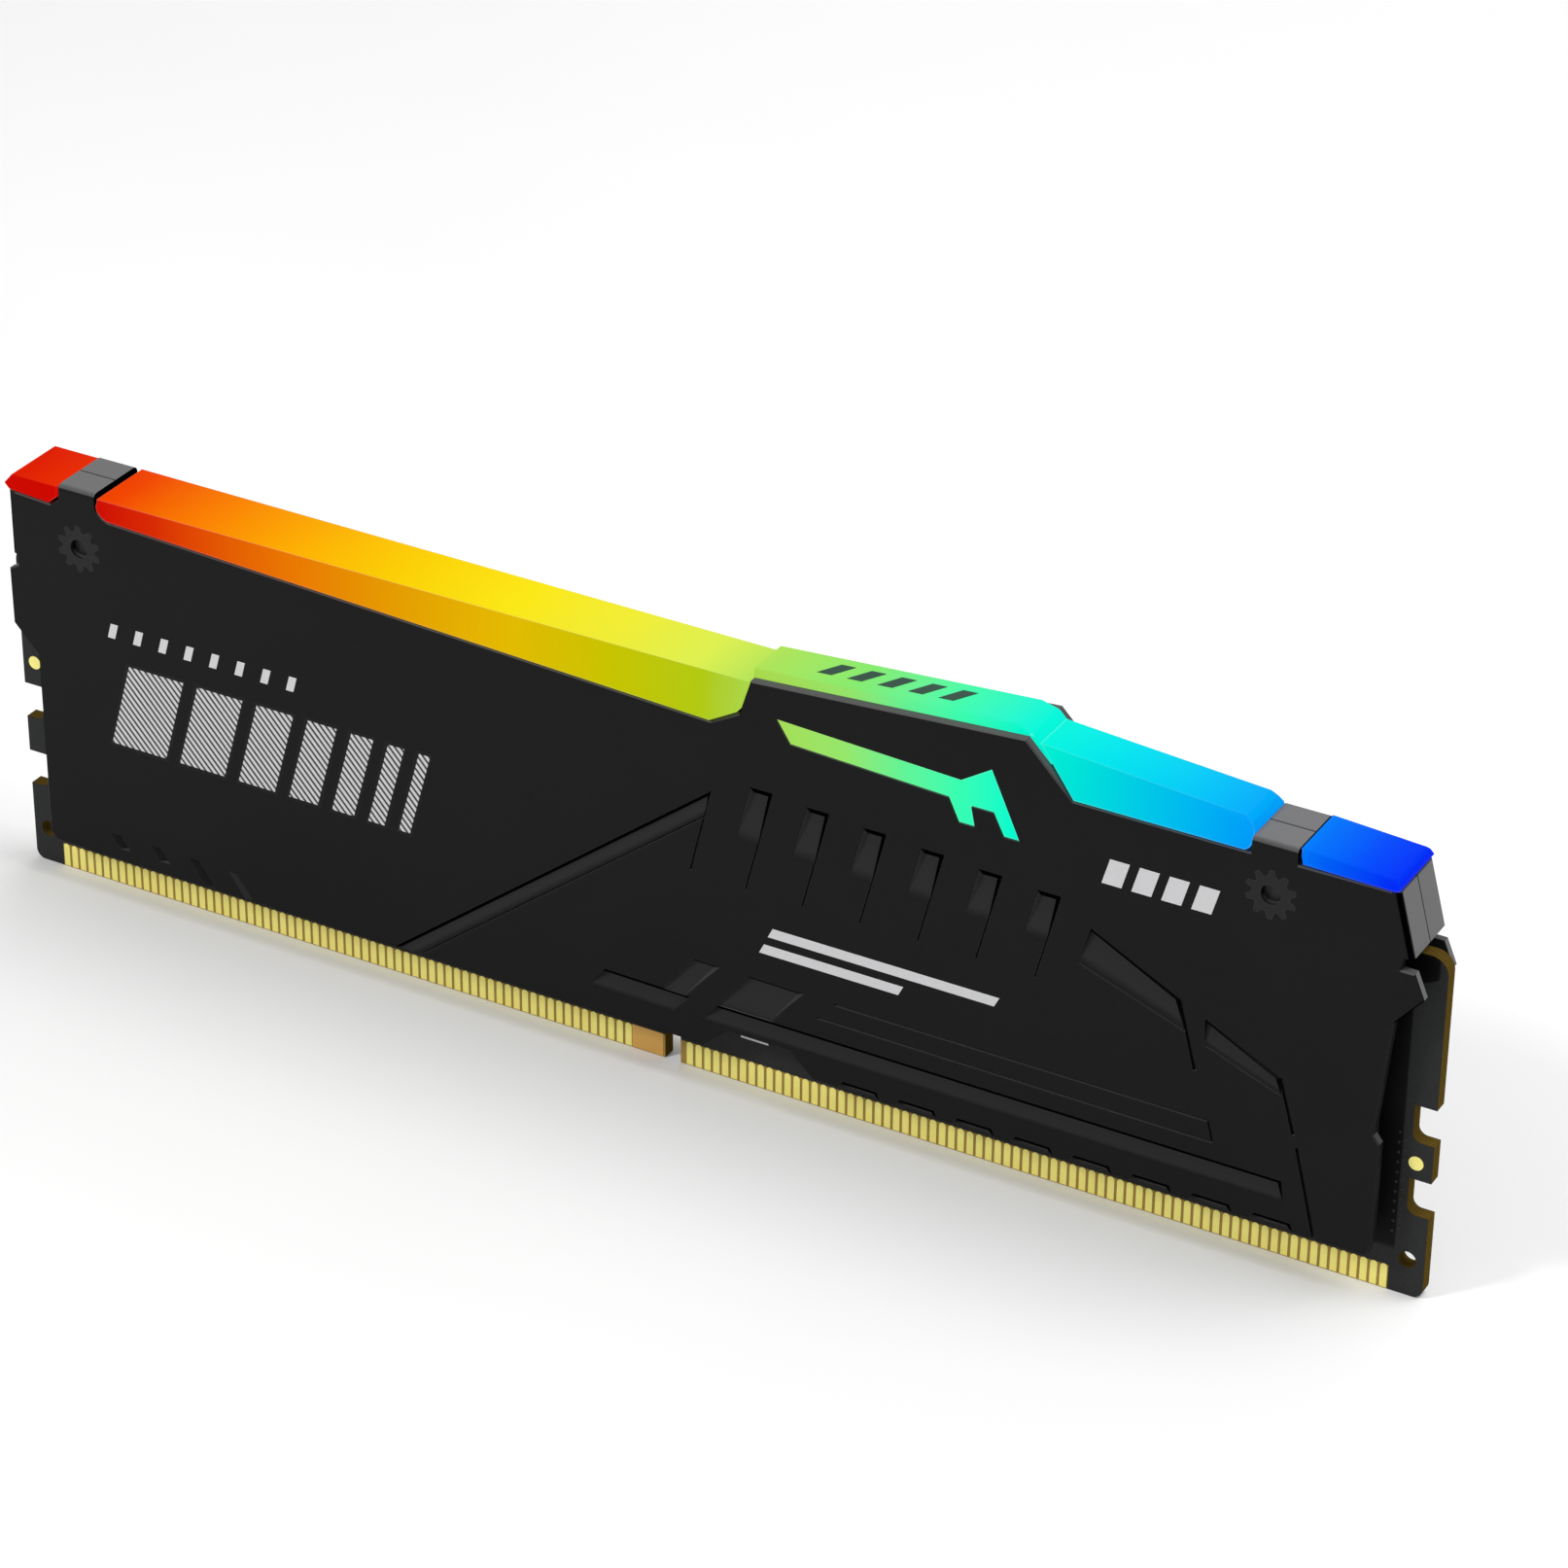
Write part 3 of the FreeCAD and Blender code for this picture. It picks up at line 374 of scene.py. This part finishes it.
def fold_masks(tree, place, face):
    """Shares of the sheet that are folded tab faces given painted light, and that are bends and tab
    sides in painted deep shade.
    """
    sideways = size_of(tree, face[1])
    endwise = size_of(tree, face[0])
    across = size_of(tree, place[0])
    end_tab = product(tree, past(tree, across, END_TAB_X, 0.1),
                      past(tree, place[2], END_TAB_FOOT_Z, 0.05))
    lip = product(tree, past(tree, across, LIP_X, 0.1), past(tree, place[2], LIP_FOOT_Z, 0.05))
    # painted light: tab faces turned out along X or upwards are made lighter grey
    lit_tabs = [product(tree, greatest(tree, end_tab, lip), fade(tree, endwise, 0.3, 0.6),
                    fade(tree, sideways, 0.35, 0.05))]
    shaded = [product(tree, end_tab, fade(tree, endwise, 0.15, 0.35), fade(tree, sideways, 0.3, 0.5))]
    for middle in TAB_MIDDLES:
        offset = size_of(tree, maths(tree, "SUBTRACT", place[0], middle))
        near = product(tree, under(tree, offset, TAB_HALF_WIDTH, 0.1),
                       past(tree, place[2], TAB_LEVEL_Z, 0.15))
        lit_tabs.append(product(tree, near, fade(tree, face[2], 0.3, 0.7), fade(tree, sideways, 0.8, 0.12)))
        shaded.append(product(tree, near, fade(tree, endwise, 0.5, 0.8)))
    return greatest(tree, *lit_tabs), greatest(tree, *shaded)


def relief_masks(tree, place, face):
    """Shares of the sheet that are pressed floors and pocket sides towards +X given painted light, and
    pocket walls given painted deep shade.
    """
    sideways = size_of(tree, face[1])
    depth = maths(tree, "SUBTRACT", -FRONT_Y, size_of(tree, place[1]))
    pressed = past(tree, depth, PRESSED_DEPTH, 0.14)
    # painted light: pressed floors that face out along Y are made lighter
    floor = product(tree, pressed, fade(tree, sideways, 0.75, 0.95))
    # painted light: pocket sides turned towards +X are made lighter
    side = product(tree, fade(tree, face[0], 0.3, 0.6),
                   under(tree, size_of(tree, place[0]), RELIEF_X, 0.5),
                   pressed, fade(tree, sideways, 0.2, 0.4))
    # painted shade: pocket walls turned down or towards -X are blackened as deep shadow
    panel = product(tree, under(tree, place[2], PANEL_TOP_Z, 0.2),
                    under(tree, place[0], PANEL_RIGHT_X, 0.2))
    turned = maths(tree, "MINIMUM", maths(tree, "ADD", face[0], panel), face[2])
    painted_wall_shade = product(tree, fade(tree, turned, -0.25, -0.45), fade(tree, sideways, 0.3, 0.45))
    return floor, side, painted_wall_shade


def spreader_coating():
    """Satin black over folded sheet; painted light makes the tabs a lighter grey and pressed floors a
    little lighter, with painted highlights on upper edges and painted deep shade on bends, gaps and
    pocket walls.
    """
    made, tree, shader = new_material("spreader_coating")
    where, place = places(tree)
    face = facing(tree)
    lit_tab, shaded = fold_masks(tree, place, face)
    floor, side, painted_wall_shade = relief_masks(tree, place, face)
    shaded = greatest(tree, painted_wall_shade, shaded)
    grain = noise(tree, where, 0.22)
    clouds = noise(tree, where, 9.0, 2.0)
    # paler edges, broken by grain: partly wear, partly a painted edge highlight
    wear_and_highlight = product(tree, edge_share(tree, 0.12, 0.8, 0.98), fade(tree, grain, 0.3, 0.7), 0.5)
    # painted highlight: faces turned upwards are made lighter grey
    upper_edge_highlight = product(tree, fade(tree, face[2], 0.35, 0.6),
                         fade(tree, size_of(tree, face[1]), 0.95, 0.85))
    colour = blend(tree, clouds, *COATING)
    for share, paint in ((floor, PRESSED_FLOOR_PAINTED_LIGHT), (side, PRESSED_SIDE_PAINTED_LIGHT), (wear_and_highlight, WORN_EDGE_AND_HIGHLIGHT),
                         (upper_edge_highlight, UPPER_EDGE_HIGHLIGHT), (lit_tab, TAB_PAINTED_LIGHT), (shaded, DEEP_SHADE)):
        colour = blend(tree, share, colour, paint)
    feed(tree, shader, Base_Color=colour, Roughness=ranged(tree, clouds, 0.42, 0.54),
         Specular_IOR_Level=product(tree, rest_of(tree, shaded), 0.08),
         Normal=bump(tree, grain, 0.012, 0.35))
    return made


def ring_coating():
    """Satin dark grey with paler edges."""
    made, tree, shader = new_material("ring_coating", Specular_IOR_Level=0.15)
    where, _ = places(tree)
    grain = noise(tree, where, 0.16)
    colour = blend(tree, edge_share(tree, 0.07, 0.8, 0.98), blend(tree, grain, *RING), RING_EDGE)
    feed(tree, shader, Base_Color=colour, Roughness=ranged(tree, grain, 0.4, 0.55),
         Normal=bump(tree, grain, 0.01, 0.3))
    return made


# ---------------------------------------------------------------- lit plastic

def spectrum(tree, share, stops):
    """Colour ramp along the module."""
    made = node(tree, "ShaderNodeValToRGB", {"Fac": share})
    ramp = made.color_ramp
    while len(ramp.elements) < len(stops):
        ramp.elements.new(0.5)
    for element, (x, colour) in zip(ramp.elements, stops):
        element.position = (x * MM - SPECTRUM_START) / (SPECTRUM_END - SPECTRUM_START)
        element.color = linear(colour)
    return made.outputs["Color"]


def lit_plastic(name, glow, grain_mm):
    """Milky plastic lit from inside; its upright faces take a deeper, darker ramp than its top as
    painted shade, and its edges are paler as a painted highlight.
    """
    made, tree, shader = new_material(name, IOR=1.04, Roughness=0.42, Emission_Strength=glow)
    where, place = places(tree)
    face = facing(tree)
    share = node(tree, "ShaderNodeMapRange",
                 {"Value": place[0], "From Min": SPECTRUM_START, "From Max": SPECTRUM_END}).outputs[0]
    # painted shade: upright faces take the darker ramp, the top the paler one
    colour = blend(tree, fade(tree, face[2], 0.35, 0.85),
                   spectrum(tree, share, UPRIGHT_SHADED_SPECTRUM), spectrum(tree, share, TOP_SPECTRUM))
    colour = blend(tree, product(tree, noise(tree, where, 14.0, 2.0), 0.1), colour, BLACK)
    # painted highlight: edges of the light bar made paler
    colour = blend(tree, product(tree, edge_share(tree, 0.16, 0.72, 0.97), 0.14), colour, RIM_HIGHLIGHT)
    # painted shade: light bar faces towards -X in the gaps beside the tabs are made black
    for gap_x in TAB_GAPS:
        offset = size_of(tree, maths(tree, "SUBTRACT", place[0], gap_x))
        gap_shade = product(tree, under(tree, offset, TAB_GAP_REACH, 0.2), fade(tree, face[0], -0.2, -0.45))
        colour = blend(tree, gap_shade, colour, BLACK)
    feed(tree, shader, Base_Color=blend(tree, 0.95, colour, BLACK), Emission_Color=colour,
         Normal=bump(tree, noise(tree, where, grain_mm), 0.01, 0.2))
    return made


# ---------------------------------------------------------------- board

def masked_face(tree, place, weave):
    """Black solder mask, in deep shade behind the sheets except where their opening bares it."""
    across = size_of(tree, place[0])
    lip_reach = product(tree, past(tree, place[2], LIP_SHADE_Z, 1.2), LIP_SHADE)
    covered = product(tree, under(tree, maths(tree, "SUBTRACT", across, lip_reach), COVERED_X, 0.15),
                      past(tree, place[2], SHEET_FOOT_Z, 0.6))
    aside = size_of(tree, maths(tree, "SUBTRACT", place[0], OPENING_MIDDLE_X))
    opened = product(tree, under(tree, aside, OPENING_HALF_WIDTH, 0.2),
                     under(tree, place[2], OPENING_TOP_Z, 0.2))
    covered = product(tree, covered, rest_of(tree, opened))
    return blend(tree, covered, blend(tree, weave, *SOLDER_MASK), SHADED_MASK)


def laminate_edge(tree, where):
    """Layers of glass fibre along the cut edges."""
    layers = node(tree, "ShaderNodeTexWave",
                  {"Vector": where, "Scale": LAYER_SCALE, "Distortion": 0.8, "Detail": 2.0,
                   "Detail Scale": 2.0},
                  bands_direction="Y").outputs["Fac"]
    fibres = noise(tree, stretched(tree, where, (1.0, 4.0, 0.35)), 0.3)
    return blend(tree, product(tree, fibres, 0.2), blend(tree, layers, *GLASS_LAYERS), GLASS_FIBRE)


def board_laminate():
    """Solder mask on the faces, glass fibre on the edges, bare laminate under the contacts."""
    made, tree, shader = new_material("board_laminate")
    where, place = places(tree)
    flat = fade(tree, size_of(tree, facing(tree)[1]), 0.4, 0.7)
    weave = noise(tree, where, 0.35, 4.0)
    contact_field = product(tree, under(tree, place[2], CONTACT_TOP_Z - CONTACT_FIELD_DROP, 0.14),
                            under(tree, size_of(tree, place[0]), CONTACT_FIELD_X, 0.1))
    faces = blend(tree, contact_field, masked_face(tree, place, weave),
                  blend(tree, weave, *BARE_LAMINATE))
    feed(tree, shader, Base_Color=blend(tree, flat, laminate_edge(tree, where), faces),
         Roughness=ranged(tree, weave, 0.45, 0.65), Specular_IOR_Level=product(tree, flat, 0.1),
         Normal=bump(tree, weave, 0.02, 0.3))
    return made


# ---------------------------------------------------------------- metals, mouldings, inks

def plated(name, low, high, roughness, metallic):
    """Plated metal with a faint rub along Z."""
    made, tree, shader = new_material(name, Metallic=metallic)
    where, _ = places(tree)
    rub = noise(tree, stretched(tree, where, (1.0, 1.0, 0.12)), 0.06, 2.0)
    colour = blend(tree, noise(tree, where, 2.2, 2.0), low, high)
    feed(tree, shader, Base_Color=colour, Roughness=ranged(tree, rub, roughness - 0.06, roughness + 0.1),
         Normal=bump(tree, rub, 0.006, 0.25))
    return made


def moulded(name, low, high, roughness, grain_mm, level):
    """Moulded or fired body: two close colours, grain and slightly paler edges."""
    made, tree, shader = new_material(name, Specular_IOR_Level=level)
    where, _ = places(tree)
    grain = noise(tree, where, grain_mm)
    pale = tuple(min(1.0, part * 1.6 + 0.01) for part in high[:3]) + (1,)
    edges = product(tree, edge_share(tree, 0.06, 0.8, 0.98), 0.5)
    feed(tree, shader, Base_Color=blend(tree, edges, blend(tree, grain, low, high), pale),
         Roughness=ranged(tree, grain, roughness - 0.05, roughness + 0.08),
         Normal=bump(tree, grain, 0.01, 0.25))
    return made


def label_film():
    """Brushed silver film, blank."""
    made, tree, shader = new_material("label_film", Metallic=0.6)
    where, _ = places(tree)
    brush = noise(tree, stretched(tree, where, (0.06, 1.0, 1.0)), 0.12)
    feed(tree, shader, Base_Color=blend(tree, brush, *FILM), Roughness=ranged(tree, brush, 0.3, 0.45),
         Normal=bump(tree, brush, 0.004, 0.2))
    return made


def hatched_ink():
    """Silver ink laid in fine slanting lines."""
    made, tree, shader = new_material("hatched_ink", Specular_IOR_Level=0.3)
    where, _ = places(tree)
    turned = node(tree, "ShaderNodeVectorRotate", {"Vector": where, "Angle": HATCH_ANGLE},
                  rotation_type="Y_AXIS").outputs[0]
    lines = node(tree, "ShaderNodeTexWave", {"Vector": turned, "Scale": HATCH_SCALE, "Distortion": 0.0},
                 bands_direction="X").outputs["Fac"]
    line = fade(tree, lines, 0.3, 0.45)
    grain = noise(tree, where, 0.2)
    feed(tree, shader, Base_Color=blend(tree, line, BETWEEN_INK, blend(tree, grain, *SILVER_INK)),
         Roughness=ranged(tree, grain, 0.4, 0.55), Normal=bump(tree, line, 0.02, 0.4))
    return made


def make_materials():
    """One material for each of the record's slots, and the inks."""
    materials = {"board": board_laminate(),
                 "spreader_coating": spreader_coating(),
                 "ring_coating": ring_coating(),
                 "label_film": label_film(),
                 "hatched_ink": hatched_ink()}
    for name, values in LIT.items():
        materials[name] = lit_plastic(name, *values)
    for name, values in PLATED.items():
        materials[name] = plated(name, *values)
    for name, values in MOULDED.items():
        materials[name] = moulded(name, *values)
    return materials


# ---------------------------------------------------------------- meshes

def add_piece(name, mesh, material):
    """Object of the module, riding on its one body."""
    piece = bpy.data.objects.new(name, mesh)
    bpy.context.scene.collection.objects.link(piece)
    mesh.materials.clear()
    mesh.materials.append(material)
    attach(piece, BODY)
    return piece


def piece_from(work, name, material):
    """Piece made from a finished bmesh."""
    mesh = bpy.data.meshes.new(name)
    work.to_mesh(mesh)
    work.free()
    add_piece(name, mesh, material)


def softened(node_name, new_name, material, width_mm):
    """Stands for a CAD node: its own shape with flats merged and edges rounded."""
    mesh = frame["nodes"][node_name].data.copy()
    mesh.name = new_name
    work = bmesh.new()
    work.from_mesh(mesh)
    bmesh.ops.remove_doubles(work, verts=work.verts, dist=MERGE_MM * MM)
    bmesh.ops.dissolve_limit(work, angle_limit=FLAT_ANGLE, verts=work.verts, edges=work.edges)
    work.to_mesh(mesh)
    work.free()
    piece = add_piece(new_name, mesh, material)
    rounding = piece.modifiers.new("rounding", "BEVEL")
    rounding.width = width_mm * MM
    rounding.segments = ROUNDING_SEGMENTS
    rounding.limit_method = "ANGLE"
    rounding.angle_limit = SHARP_ANGLE
    rounding.harden_normals = True
    for polygon in mesh.polygons:
        polygon.use_smooth = True
    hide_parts(node_name)


def close_sides(work, near, far):
    """Quads between two loops with the same number of points."""
    for step in range(len(near)):
        after = (step + 1) % len(near)
        work.faces.new((near[step], near[after], far[after], far[step]))


def flat_marks(name, outlines, y_from, y_to, material, slot, edge_mm=MARK_EDGE):
    """Thin raised marks on a face that looks along Y; each outline is (x, z) points in mm."""
    work = bmesh.new()
    for outline in outlines:
        near = [work.verts.new((x * MM, y_from, z * MM)) for x, z in outline]
        far = [work.verts.new((x * MM, y_to, z * MM)) for x, z in outline]
        work.faces.new(near)
        work.faces.new(list(reversed(far)))
        close_sides(work, far, near)
    bmesh.ops.recalc_face_normals(work, faces=work.faces)
    bmesh.ops.bevel(work, geom=work.edges, offset=edge_mm * MM, segments=1, affect="EDGES")
    piece_from(work, name, material)


def leaning(x, width, levels, lean):
    """Parallelogram: its foot starts at x and it leans towards +X by lean per unit of height."""
    low, high = levels
    shift = lean * (high - low)
    return [(x, low), (x + width, low), (x + width + shift, high), (x + shift, high)]


def leaning_row(first_x, pitch, count, width, levels):
    return [leaning(first_x + pitch * step, width, levels, MARK_LEAN) for step in range(count)]


def widened(bar):
    """The bar's outline moved out by the width of its painted shadow."""
    x_moves = (-SHADOW_WIDTH, SHADOW_WIDTH, SHADOW_WIDTH, -SHADOW_WIDTH)
    z_moves = (-SHADOW_WIDTH, -SHADOW_WIDTH, SHADOW_WIDTH, SHADOW_WIDTH)
    return [(x + dx, z + dz) for (x, z), dx, dz in zip(bar, x_moves, z_moves)]


# ---------------------------------------------------------------- pieces

def dress_frame(materials):
    """Gives each CAD node that stays the material of its slot."""
    slots = {part["node"]: part["material_slot"] for part in frame["record"]["subparts"]}
    for name, obj in frame["nodes"].items():
        chosen = materials[slots[name]]
        for slot in obj.material_slots:
            slot.material = chosen
        if not obj.material_slots:
            obj.data.materials.append(chosen)


def make_marks(materials):
    """Plain geometric marks in the places where such a module is printed."""
    bars = []
    x = BARS_LEFT_X
    for width in BAR_WIDTHS:
        bars.append(leaning(x, width, BARS_Z, MARK_LEAN))
        x += width + BAR_GAP
    lines = [leaning(start, width, levels, LONG_LINE_LEAN) for start, width, levels in LONG_LINES]
    front = (FRONT_Y - MARK_LIFT * MM, FRONT_Y)
    flat_marks("hatched_bars", bars, *front, materials["hatched_ink"], "spreader_coating")
    # painted shadow: a dark sheet just under and round each hatched bar
    flat_marks("hatched_bars_shadow", [widened(bar) for bar in bars],
               FRONT_Y - SHADOW_LIFT * MM, FRONT_Y, materials["painted_mark_shadow"], "spreader_coating", FINE_EDGE)
    flat_marks("tick_row", leaning_row(*TICKS), *front, materials["pale_ink"], "spreader_coating")
    flat_marks("long_lines", lines, *front, materials["pale_ink"], "spreader_coating")
    flat_marks("block_row", leaning_row(*BLOCKS), *front, materials["pale_ink"], "spreader_coating")
    flat_marks("silk_dash", [SILK_DASH], BOARD_LOW.y - SILK_LIFT * MM, BOARD_LOW.y,
               materials["pale_ink"], "board", FINE_EDGE)


def top_finder(node_name):
    """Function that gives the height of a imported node's top under a point in mm."""
    mesh = frame["nodes"][node_name].data
    corners = [vertex.co for vertex in mesh.vertices]
    tree = BVHTree.FromPolygons(corners, [tuple(polygon.vertices) for polygon in mesh.polygons])

    def level(x_mm, y_mm):
        start = Vector((x_mm * MM, y_mm * MM, CAD_BOX[1].z + 10 * MM))
        place = tree.ray_cast(start, Vector((0, 0, -1)))[0]
        if place is None:
            raise ValueError("nothing of %s under (%.2f, %.2f)" % (node_name, x_mm, y_mm))
        return place.z

    return level


def deck_stripes(material):
    """Slanting stripes printed along the raised middle of the light bar."""
    work = bmesh.new()
    deck_level = top_finder("light_bar_deck")
    near_y, far_y = -STRIPE_HALF_DEPTH, STRIPE_HALF_DEPTH
    lift = Vector((0, 0, MARK_LIFT * MM))
    for step in range(STRIPE_COUNT):
        x = STRIPE_FIRST_X + STRIPE_PITCH * step
        corners = [(x, near_y), (x + STRIPE_WIDTH, near_y),
                   (x + STRIPE_WIDTH + STRIPE_LEAN, far_y), (x + STRIPE_LEAN, far_y)]
        tops = [Vector((px * MM, py * MM, deck_level(px, py))) for px, py in corners]
        lower = [work.verts.new(top - lift) for top in tops]
        upper = [work.verts.new(top + lift) for top in tops]
        work.faces.new(upper)
        work.faces.new(list(reversed(lower)))
        close_sides(work, lower, upper)
    bmesh.ops.recalc_face_normals(work, faces=work.faces)
    piece_from(work, "deck_stripes", material)


def add_dome(work, centre, outward):
    """Small dome that stands on a face that looks along Y."""
    loops = []
    for ring in range(DOT_RINGS):
        tilt = math.pi / 2 * ring / DOT_RINGS
        radius = DOT_RADIUS * math.cos(tilt) * MM
        rise = outward * DOT_HEIGHT * math.sin(tilt) * MM
        loop = []
        for side in range(DOT_SIDES):
            angle = 2 * math.pi * side / DOT_SIDES
            reach = Vector((radius * math.cos(angle), rise, radius * math.sin(angle)))
            loop.append(work.verts.new(centre + reach))
        loops.append(loop)
    for lower, upper in zip(loops, loops[1:]):
        close_sides(work, lower, upper)
    work.faces.new(loops[-1])
    work.faces.new(list(reversed(loops[0])))


def solder_dots(material):
    """Domed via caps in columns beside the sheets, on both faces of the board."""
    work = bmesh.new()
    for column_x, first_z, count in DOT_COLUMNS:
        for step in range(count):
            for face_y, outward in ((BOARD_LOW.y, -1), (BOARD_HIGH.y, 1)):
                centre = Vector((column_x * MM, face_y, (first_z + DOT_PITCH * step) * MM))
                add_dome(work, centre, outward)
    bmesh.ops.recalc_face_normals(work, faces=work.faces)
    piece_from(work, "solder_dots", material)


# ---------------------------------------------------------------- studio

def make_camera():
    """Camera on its azimuth and elevation round the target."""
    flat = math.cos(CAMERA_ELEVATION)
    back = Vector((math.sin(CAMERA_AZIMUTH) * flat, -math.cos(CAMERA_AZIMUTH) * flat,
                   math.sin(CAMERA_ELEVATION)))
    data = bpy.data.cameras.new("camera")
    data.lens = CAMERA_LENS_MM
    data.sensor_width = CAMERA_SENSOR_MM
    camera = bpy.data.objects.new("camera", data)
    bpy.context.scene.collection.objects.link(camera)
    turn = back.to_track_quat("Z", "Y").to_matrix().to_4x4() @ Matrix.Rotation(CAMERA_ROLL, 4, "Z")
    camera.matrix_world = Matrix.Translation(Vector(CAMERA_TARGET) + back * CAMERA_DISTANCE) @ turn
    bpy.context.scene.camera = camera


def area_light(name, place, aim, size, watts):
    data = bpy.data.lights.new(name, "AREA")
    data.shape = "SQUARE"
    data.size = size
    data.energy = watts
    lamp = bpy.data.objects.new(name, data)
    bpy.context.scene.collection.objects.link(lamp)
    lamp.location = place
    lamp.rotation_euler = (Vector(place) - Vector(aim)).to_track_quat("Z", "Y").to_euler()


def make_studio():
    """White surroundings, one large light overhead, one behind and a smaller key at the front left."""
    world = bpy.data.worlds.new("studio")
    world.use_nodes = True
    sky = world.node_tree.nodes["Background"]
    sky.inputs["Color"].default_value = (1, 1, 1, 1)
    sky.inputs["Strength"].default_value = SKY_STRENGTH
    bpy.context.scene.world = world
    bpy.context.scene.view_settings.view_transform = "Standard"
    for light in LIGHTS:
        area_light(*light)


def make_floor():
    """Plain pale floor at the module's foot."""
    made, tree, shader = new_material("floor_paint", Specular_IOR_Level=0.1)
    where, _ = places(tree)
    tone = noise(tree, where, 60.0, 2.0)
    feed(tree, shader, Base_Color=blend(tree, tone, *FLOOR_PAINT),
         Roughness=ranged(tree, tone, 0.75, 0.9))
    signs = ((-1, -1), (1, -1), (1, 1), (-1, 1))
    corners = [(x * FLOOR_HALF, y * FLOOR_HALF, CAD_BOX[0].z) for x, y in signs]
    mesh = bpy.data.meshes.new("floor")
    mesh.from_pydata(corners, [], [(0, 1, 2, 3)])
    mesh.materials.append(made)
    floor = bpy.data.objects.new("floor", mesh)
    bpy.context.scene.collection.objects.link(floor)


make_camera()
make_studio()
make_floor()
MATERIALS = make_materials()
dress_frame(MATERIALS)
for lit_node in LIT_NODES:
    softened(lit_node, lit_node + "_rounded", MATERIALS["light_diffuser"], LIT_EDGE_MM)
make_marks(MATERIALS)
deck_stripes(MATERIALS["deck_ink"])
solder_dots(MATERIALS["solder"])
